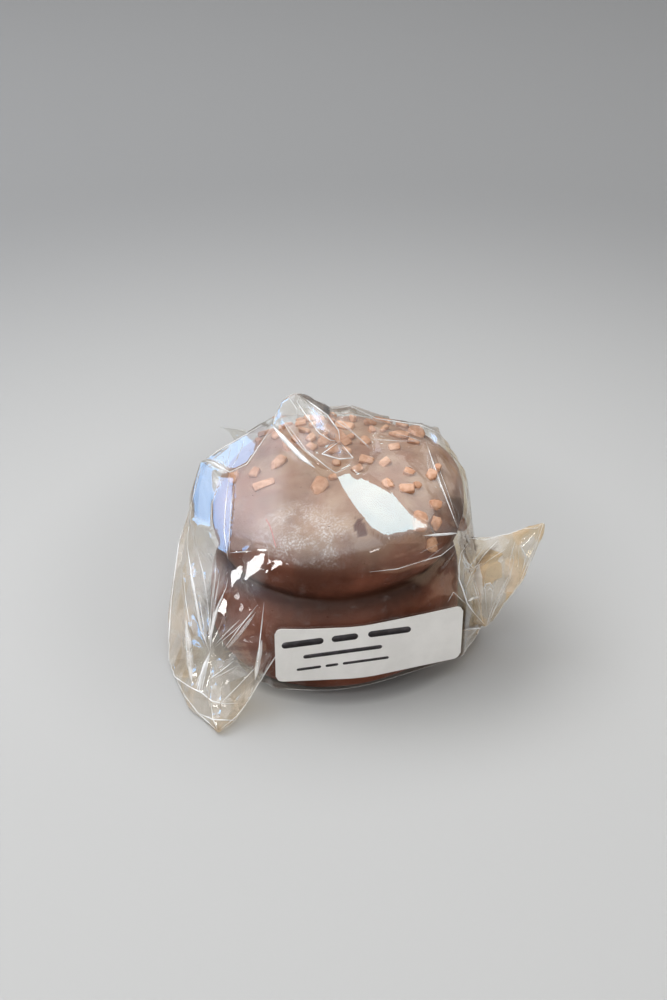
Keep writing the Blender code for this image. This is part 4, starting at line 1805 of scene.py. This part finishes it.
    def gusset(self, places: np.ndarray) -> np.ndarray:
        """Where the left gusset is, from 0 to 1.

        Args:
            places: The film's points.

        Returns:
            One share for each point.
        """
        x, y, z = places.T
        beside = 1 - smooth_step(*self.gusset_beside, x)
        before = (1 - smooth_step(*self.gusset_before[0], y)) * (1 - smooth_step(*self.gusset_before[1], x))
        return np.maximum(beside, before) * (1 - smooth_step(*self.gusset_top, z))

    def marked(self, places: np.ndarray, areas: Iterable[Area], farthest: float, edge: float) -> np.ndarray:
        """How strongly each point is marked by areas of the photo.

        Args:
            places: The points.
            areas: Each area's corners in the photo and its strength.
            farthest: Points farther from the camera than this stay plain.
            edge: Pixels from an area's outline where its mark begins, negative outside.

        Returns:
            Each point's strength, from 0 to 1.
        """
        near = np.linalg.norm(places - np.array(self.view.station), axis=1) < farthest
        pixels = self.view.pixels_of(places)
        marks = np.zeros(len(places))
        for corners, strength in areas:
            inside = smooth_step(edge, edge + self.mark_edge, inside_by(pixels, np.array(corners)))
            marks = np.maximum(marks, inside * near * strength)
        return marks

    def haze(self, places: np.ndarray) -> np.ndarray:
        """How whitish the film is at each point, from 0 to 1: from its fine creases, with painted highlights, and a
        painted veil of mirrored light along the dome's lower edge.

        Args:
            places: The film's points.

        Returns:
            One share for each point.
        """
        x, _, z = places.T
        right, down = self.view.pixels_of(places).T
        (ear, ear_depth), (top, top_depth) = self.ear_haze, self.top_haze
        hazes = [
            smooth_step(*ear, x) * ear_depth,
            smooth_step(*top, z) * top_depth,
            self.gusset(places) * self.gusset_haze,
            self.marked(places, self.painted_highlight_facets, self.front, -1.0),
        ]
        hem_right, hem_down, hem_depth = np.array(self.hem_painted_veil).T
        above = np.interp(right, hem_right, hem_down) - down
        fading = smooth_step(*self.hem_edge, above) * (1 - smooth_step(*self.hem_fade, above))
        near = np.linalg.norm(places - np.array(self.view.station), axis=1) < self.front
        hazes.append(fading * near * np.interp(right, hem_right, hem_depth, 0.0, 0.0))
        for middle, reach, depth in self.hazy_and_highlight_spots:
            away = np.hypot(right - middle[0], (down - middle[1]) * self.spot_squash)
            hazes.append((1 - smooth_step(reach * self.spot_core, reach, away)) * depth)
        return np.maximum.reduce(hazes)

    def fold_lines(self, film: Mesh) -> Mesh:
        """The lines that the pressed folds follow, as a mesh of edges.

        Args:
            film: The film's mesh.

        Returns:
            The edges, with their width and strength.
        """
        tree = surface_tree(film)
        points, edges, widths, strengths = [], [], [], []

        def add_line(trail: Sequence[Vector], thickness: float, strength: float) -> None:
            """Add one line, thin at its ends.

            Args:
                trail: The places along it.
                thickness: In millimetres.
                strength: How white it is.
            """
            start = len(points)
            for index, place in enumerate(trail):
                share = index / (len(trail) - 1)
                taper = min(1.0, self.line_end + self.line_taper * min(share, 1 - share))
                points.append(tuple(place * MM))
                widths.append(thickness / 2 * taper * MM)
                strengths.append(strength)
            edges.extend((at, at + 1) for at in range(start, len(points) - 1))

        for crease in ALL_CREASES:
            trail = self.view.trail(tree, crease.pixels)
            if crease.thickness > 0 and len(trail) > 2:
                add_line(trail, crease.thickness, crease.strength)
        rng = np.random.default_rng(SEED + 30)
        for fan in FOLD_FANS:
            for pixels in fan.lines(rng):
                trail = [found[0] for pixel in pixels if (found := self.view.hit(tree, pixel))]
                if len(trail) == len(pixels) and (trail[-1] - trail[0]).length < fan.reach * fan.longest:
                    trail = self.view.trail(tree, pixels)
                    thickness = fan.thickness * rng.uniform(*fan.thickness_shares)
                    add_line(trail, thickness, fan.strength * rng.uniform(*fan.strength_shares))
        mesh = bpy.data.meshes.new("fold_lines")
        mesh.from_pydata(points, edges, [])
        store(mesh, "half_width", np.array(widths))
        store(mesh, "strength", np.array(strengths))
        return mesh

    def stray_fibre(self, cake: BVHTree, material: Material) -> Object:
        """Lay the fibre that lies on the cake, under the film.

        Args:
            cake: The cake's surface.
            material: The fibre's material.

        Returns:
            The fibre.
        """
        trail = self.view.trail(cake, self.fibre)
        mesh = bpy.data.meshes.new("fibre_line")
        count = len(trail)
        mesh.from_pydata([tuple(place * MM) for place in trail], [(at, at + 1) for at in range(count - 1)], [])
        store(mesh, "half_width", np.full(count, self.fibre_radius * MM))
        store(mesh, "strength", np.ones(count))
        return self.beads("stray_fibre", mesh, material)

    def pressed_folds(self, film: Mesh, material: Material) -> Object:
        """Run a thin whitish bead along each pressed fold, partly a painted glint."""
        return self.beads("pressed_folds", self.fold_lines(film), material)

    def beads(self, name: str, lines: Mesh, material: Material) -> Object:
        """Make round beads along a mesh's edges.

        Args:
            name: The piece's name.
            lines: The edges, whose half_width attribute says how thick the beads are.
            material: Their finish.

        Returns:
            All the beads as one piece.
        """
        inputs = {"Sides": "NodeSocketInt", "Material": "NodeSocketMaterial"}
        tree, given = new_maker(name + "_beads", inputs)
        circle = {"Resolution": given.outputs["Sides"], "Radius": 1.0}
        bead = {
            "Curve": add_node(tree, "GeometryNodeMeshToCurve", {"Mesh": given.outputs["Geometry"]}),
            "Profile Curve": add_node(tree, "GeometryNodeCurvePrimitiveCircle", circle),
            "Scale": add_node(tree, NAMED_ATTRIBUTE, {"Name": "half_width"}, data_type="FLOAT"),
            "Fill Caps": True,
        }
        end_maker(tree, add_node(tree, "GeometryNodeCurveToMesh", bead), given.outputs["Material"])
        return made_by(name, lines, tree, {"Sides": self.bead_sides, "Material": material})


# -------- sticker


@dataclass
class Sticker:
    """The sticker's print: plain bars where its lines of text were."""

    view: PhotoView
    corners: tuple[Pixel, ...] = ((278, 631.5), (461, 608), (461, 656), (281, 681))  # clockwise from top left
    tallness: float = 15.6 / 45.2  # its height for its width
    bars: tuple[tuple[float, float, float, float], ...] = (  # left, right, middle and height, as shares of the sticker
        (0.015, 0.245, 0.30, 0.125),
        (0.290, 0.435, 0.30, 0.125),
        (0.490, 0.725, 0.30, 0.125),
        (0.130, 0.565, 0.58, 0.075),
        (0.090, 0.225, 0.82, 0.05),
        (0.250, 0.320, 0.82, 0.05),
        (0.345, 0.600, 0.82, 0.05),
    )
    least_end: float = 0.05  # how blunt a bar's end is, so that its last face isn't closed up
    lift: float = 0.03
    sunk: float = -0.9  # most of the ink's thickness lies in the paper
    columns: int = 24

    def pixel_at(self, across: float, down: float) -> Pixel:
        """The pixel at these shares of the sticker's width and height.

        Args:
            across: From 0 to 1.
            down: From 0 to 1.

        Returns:
            Pixels to the right and down.
        """
        top_left, top_right, low_right, low_left = (Vector(corner) for corner in self.corners)
        place = top_left.lerp(top_right, across).lerp(low_left.lerp(low_right, across), down)
        return place.x, place.y

    def build(self, label: Object, material: Material) -> Object:
        """Print the bars on the sticker's outer face.

        Args:
            label: The sticker.
            material: The print's finish.

        Returns:
            All the bars as one piece.
        """
        face = surface_tree(label.data)
        points, faces = [], []
        for left, right, middle, height in self.bars:
            start = len(points)
            radius = min((right - left) / 2, height / 2 * self.tallness)
            for column in range(self.columns + 1):
                share = 0.5 - 0.5 * math.cos(math.pi * column / self.columns)
                across = left + (right - left) * share
                inset = min(across - left, right - across)
                round_end = math.sqrt(max(0.0, 1 - max(0.0, 1 - inset / radius) ** 2))
                half = height / 2 * max(round_end, self.least_end)
                for down in (middle - half, middle + half):
                    place, normal = self.view.hit(face, self.pixel_at(across, down))
                    points.append(place + normal * self.lift)
            for at in range(start, start + self.columns * 2, 2):
                faces.append((at, at + 1, at + 3, at + 2))
        piece = new_piece("sticker_print", mesh_from("sticker_print", points, faces), material)
        solid = piece.modifiers.new("ink", "SOLIDIFY")
        solid.thickness = self.lift * MM
        solid.offset = self.sunk
        return piece


# -------- studio


@dataclass(frozen=True)
class SoftBox:
    """A rectangular lamp that lights the scene and isn't mirrored in the film."""

    name: str
    place: Place  # metres
    size: tuple[float, float]  # metres
    glow: float  # how bright its face looks

    def build(self, target: Vector) -> Object:
        """Hang the lamp.

        Args:
            target: Where it points, in metres.

        Returns:
            The lamp.
        """
        data = bpy.data.lights.new(self.name, "AREA")
        data.shape = "RECTANGLE"
        data.size, data.size_y = self.size
        data.energy = self.glow * math.pi * self.size[0] * self.size[1]
        lamp = bpy.data.objects.new(self.name, data)
        lamp.location = self.place
        lamp.rotation_euler = (Vector(self.place) - target).to_track_quat("Z", "Y").to_euler()
        lamp.visible_glossy = False
        bpy.context.scene.collection.objects.link(lamp)
        return lamp


@dataclass(frozen=True)
class MirrorCard(Finish):
    """A glowing card that shows only where the film mirrors it, and fades out towards its edges."""

    name: str
    place: Place  # metres
    size: tuple[float, float]  # metres
    glow: float
    low: str = "#ffffff"  # its colour along the lower edge
    high: str = "#ffffff"  # and along the upper edge
    fade: float = 0.02  # metres over which it fades out

    def shader(self, tree: NodeTree, place: NodeSocket) -> Node:
        """Make the card glow, less towards its edges."""
        wide, tall = (side / 2 / MM for side in self.size)
        sides = add_node(tree, "ShaderNodeSeparateXYZ", (place,)).outputs
        insets = []
        for side, half in ((sides["X"], wide), (sides["Y"], tall)):
            away = add_node(tree, MATH, (side,), operation="ABSOLUTE")
            insets.append(add_node(tree, MATH, (half, away), operation="SUBTRACT"))
        inset = add_node(tree, MATH, insets, operation="MINIMUM")
        share = add_node(tree, RANGE, (inset, 0.0, self.fade / MM), **SOFTLY)
        rise = add_node(tree, RANGE, (sides["Y"], -tall, tall), **SOFTLY)
        strength = add_node(tree, MATH, (share, self.glow), operation="MULTIPLY")
        light = {"Color": coated(tree, self.low, (rise, self.high)), "Strength": strength}
        layers = (add_node(tree, "ShaderNodeBsdfTransparent"), add_node(tree, "ShaderNodeEmission", light))
        return add_node(tree, "ShaderNodeAddShader", layers)

    def build(self, target: Vector) -> None:
        """Hang the card, turned to a target in metres.

        Args:
            target: The place it faces.
        """
        wide, tall = (side / 2 / MM for side in self.size)
        corners = ((-wide, -tall, 0), (wide, -tall, 0), (wide, tall, 0), (-wide, tall, 0))
        card = new_piece(self.name, mesh_from(self.name, corners, ((0, 1, 2, 3),)), self.dress())
        card.location = self.place
        card.rotation_euler = (target - Vector(self.place)).to_track_quat("-Z", "Y").to_euler()
        card.visible_camera = card.visible_diffuse = card.visible_shadow = False
        card.visible_transmission = card.visible_volume_scatter = False


@dataclass(frozen=True)
class BackdropFinish(Finish):
    """Matt backdrop paper, darker with distance, with painted shade round the cake and a painted contact shadow where
    it rests.
    """

    name: str = "matt_backdrop_paper"
    pale: str = "#b5b5b4"
    grey: str = "#858585"
    palest: Place = (0.0, -60.0, 0.0)
    greying: Span = (90.0, 400.0)  # distances from the palest place over which it darkens
    shade: Span = (55.0, 95.0, 0.11, 0.0)  # painted shade: distances from its centre over which the shade round the cake ends
    shade_centre: Place = (0.0, 18.0, 0.0)
    contact_shadow: Span = (34.0, 39.5, 0.46, 0.0)  # painted contact shadow: the same, close to where the cake rests
    roughness: float = 0.9

    def shader(self, tree: NodeTree, place: NodeSocket) -> Node:
        """Darken the paper with distance, and paint shade round the cake and a contact shadow close under it."""
        away, round_it = (
            add_node(tree, VECTOR_MATH, (place, middle), operation="DISTANCE").outputs["Value"]
            for middle in (self.palest, self.shade_centre)
        )
        out = add_node(tree, VECTOR_MATH, (place,), operation="LENGTH").outputs["Value"]
        greyed = add_node(tree, RANGE, (away, *self.greying), **SOFTLY)
        shades = (
            add_node(tree, RANGE, (round_it, *self.shade), **SOFTLY),
            add_node(tree, RANGE, (out, *self.contact_shadow), **SOFTLY),
        )
        dim = add_node(tree, MATH, shades, operation="MAXIMUM")
        colour = coated(tree, self.pale, (greyed, self.grey), (dim, "#000000"))
        return add_node(tree, "ShaderNodeBsdfPrincipled", {"Base Color": colour, "Roughness": self.roughness})


@dataclass
class Studio:
    """A pale floor that darkens with distance, soft lamps and the photo's camera."""

    view: PhotoView
    target: Place = (0.0, 0.0, 0.03)  # metres, where lamps and cards are turned to
    floor_radius: float = 4.0  # metres
    floor_sides: int = 96
    backdrop: BackdropFinish = BackdropFinish()
    around: str = "#a8a9aa"  # what the film mirrors of the room: above,
    level: tuple[str, str] = ("#6f6a66", "#b4b4b4")  # level with it, in front of the cake and behind it,
    below: tuple[str, str] = ("#2a1a12", "#c9c9c8")  # and below
    behind_from: Span = (-0.1, 0.35)  # how far back a direction points where front turns into back
    level_from: Span = (-0.3, 0.02)  # and how far up where below turns into level
    above_from: Span = (0.1, 0.8)
    room_glow: float = 1.1
    clear_bounces: int = 24  # layers of film that light passes through
    off_the_floor: str = "front_fill"  # flagged off the floor, so that a shadow stays under the cake's front
    lamps: tuple[SoftBox, ...] = (
        SoftBox("top", (-0.2, 0.15, 1.0), (1.3, 1.1), 1.72),
        SoftBox("key", (-0.65, 0.35, 1.0), (0.6, 0.6), 5.8),
        SoftBox("front_fill", (0.1, -1.0, 0.55), (0.6, 0.5), 3.0),
        SoftBox("front_base", (0.1, -1.0, 0.55), (0.6, 0.5), 2.8),
    )
    cards: tuple[MirrorCard, ...] = (
        MirrorCard("veil_card", (0.0, 0.1, 1.1), (2.8, 2.5), 0.85, fade=1.0),
        MirrorCard("left_veil_card", (-0.84, 0.4, 1.05), (1.6, 1.4), 2.4, "#e2ebff", "#e2ebff", 0.5),
        MirrorCard("front_veil_card", (0.05, -0.72, 0.85), (1.5, 0.5), 0.38, fade=0.1),
        MirrorCard("low_left_card", (-0.94, -0.2, 0.53), (0.8, 0.5), 1.5, fade=0.1),
        MirrorCard("back_veil_card", (0.2, 0.85, 1.0), (1.6, 1.0), 1.2, fade=0.4),
        MirrorCard("window", (0.165, 0.41, 0.93), (0.16, 0.15), 8.2, "#c9f3ff", "#c9f3ff", 0.01),
        MirrorCard("sky_card", (-0.92, 0.28, 0.44), (0.42, 0.5), 10.3, "#54a4e8", "#92bcee", 0.1),
        MirrorCard("warm_card", (0.75, -0.6, -0.15), (1.1, 0.9), 0.9, "#ffdab8", "#ffe2c8", 0.3),
        MirrorCard("left_card", (-0.78, -0.57, 0.24), (0.32, 0.32), 14.0, fade=0.03),
        MirrorCard("right_card", (0.5, -0.7, 0.5), (0.14, 0.12), 7.0, fade=0.02),
    )

    def floor(self) -> Object:
        """Lay the floor, hidden from what the film mirrors."""
        disc = bmesh.new()
        bmesh.ops.create_circle(disc, cap_ends=True, segments=self.floor_sides, radius=self.floor_radius)
        mesh = bpy.data.meshes.new("floor")
        disc.to_mesh(mesh)
        disc.free()
        floor = new_piece("floor", mesh, self.backdrop.dress())
        floor.visible_glossy = False
        return floor

    def world(self) -> None:
        """Light all round. Below, what the film mirrors is pale behind the cake and dim in front of it."""
        world = bpy.data.worlds.new("studio")
        bpy.context.scene.world = world
        world.use_nodes = True
        tree = world.node_tree
        tree.nodes.clear()
        way = add_node(tree, "ShaderNodeTexCoord").outputs["Generated"]
        split = add_node(tree, "ShaderNodeSeparateXYZ", (way,)).outputs
        behind, level, above = (
            add_node(tree, RANGE, (split[axis], *span), **SOFTLY)
            for axis, span in (("Y", self.behind_from), ("Z", self.level_from), ("Z", self.above_from))
        )
        ground, horizon = (coated(tree, front, (behind, back)) for front, back in (self.below, self.level))
        room = coated(tree, ground, (level, horizon), (above, self.around))
        light = add_node(tree, "ShaderNodeBackground", {"Color": room, "Strength": self.room_glow})
        add_node(tree, "ShaderNodeOutputWorld", {"Surface": light})

    def build(self) -> None:
        """Set up the whole studio."""
        self.view.make_camera()
        floor = self.floor()
        self.world()
        target = Vector(self.target)
        for card in self.cards:
            card.build(target)
        for lamp in self.lamps:
            light = lamp.build(target)
            if lamp.name == self.off_the_floor:
                unlit = bpy.data.collections.new("not_lit_by_" + lamp.name)
                unlit.objects.link(floor)
                unlit.collection_objects[0].light_linking.link_state = "EXCLUDE"
                light.light_linking.receiver_collection = unlit
        scene = bpy.context.scene
        scene.view_settings.view_transform = "Standard"
        scene.cycles.transparent_max_bounces = self.clear_bounces


# -------- main


def main() -> None:
    """Build the cake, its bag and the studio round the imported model."""
    logging.basicConfig(level=logging.INFO, format="%(name)s: %(message)s")
    for old in list(bpy.data.objects):
        bpy.data.objects.remove(old)
    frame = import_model()
    bag_node, label_node = frame["nodes"]["bag"], frame["nodes"]["label"]

    view = PhotoView()
    bag = ClearBag(view)
    film_mesh = bag.base(bag_node)

    cake = Cake()
    cake_mesh = cake.build(surface_tree(film_mesh))
    cake.flake(cake_mesh, view)
    chocolate = ChocolateFinish().dress()
    cake_piece = new_piece("chocolate_cake", cake_mesh, chocolate)
    cake_tree = surface_tree(cake_mesh)
    chips = cake.chips(cake_tree, view, CARAMEL_CHIP.dress())
    crumbs = cake.crumbs(cake_mesh, chocolate)

    film_mesh = bag.build(film_mesh, label_node, cake_tree)
    film = new_piece("bag_film", film_mesh, ClearFilmFinish().dress())
    folds = bag.pressed_folds(film_mesh, FoldWhiteningAndGlintFinish().dress())
    fibre = bag.stray_fibre(cake_tree, COTTON_FIBRE.dress())

    label_node.material_slots[0].material = STICKER_PAPER.dress()
    bars = Sticker(view).build(label_node, THERMAL_PRINT.dress())

    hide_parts("bag")
    for piece, slot in (
        (film, "film"),
        (folds, "film"),
        (fibre, "label"),
        (cake_piece, "chocolate"),
        (crumbs, "chocolate"),
        (chips, "chips"),
        (bars, "label"),
    ):
        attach(piece, "root")
        LOG.info("%s, in slot %s, has %d faces", piece.name, slot, len(piece.data.polygons))
    LOG.info("%s keeps its solid, in new paper", label_node.name)

    Studio(view).build()


if __name__ == "__main__":
    main()
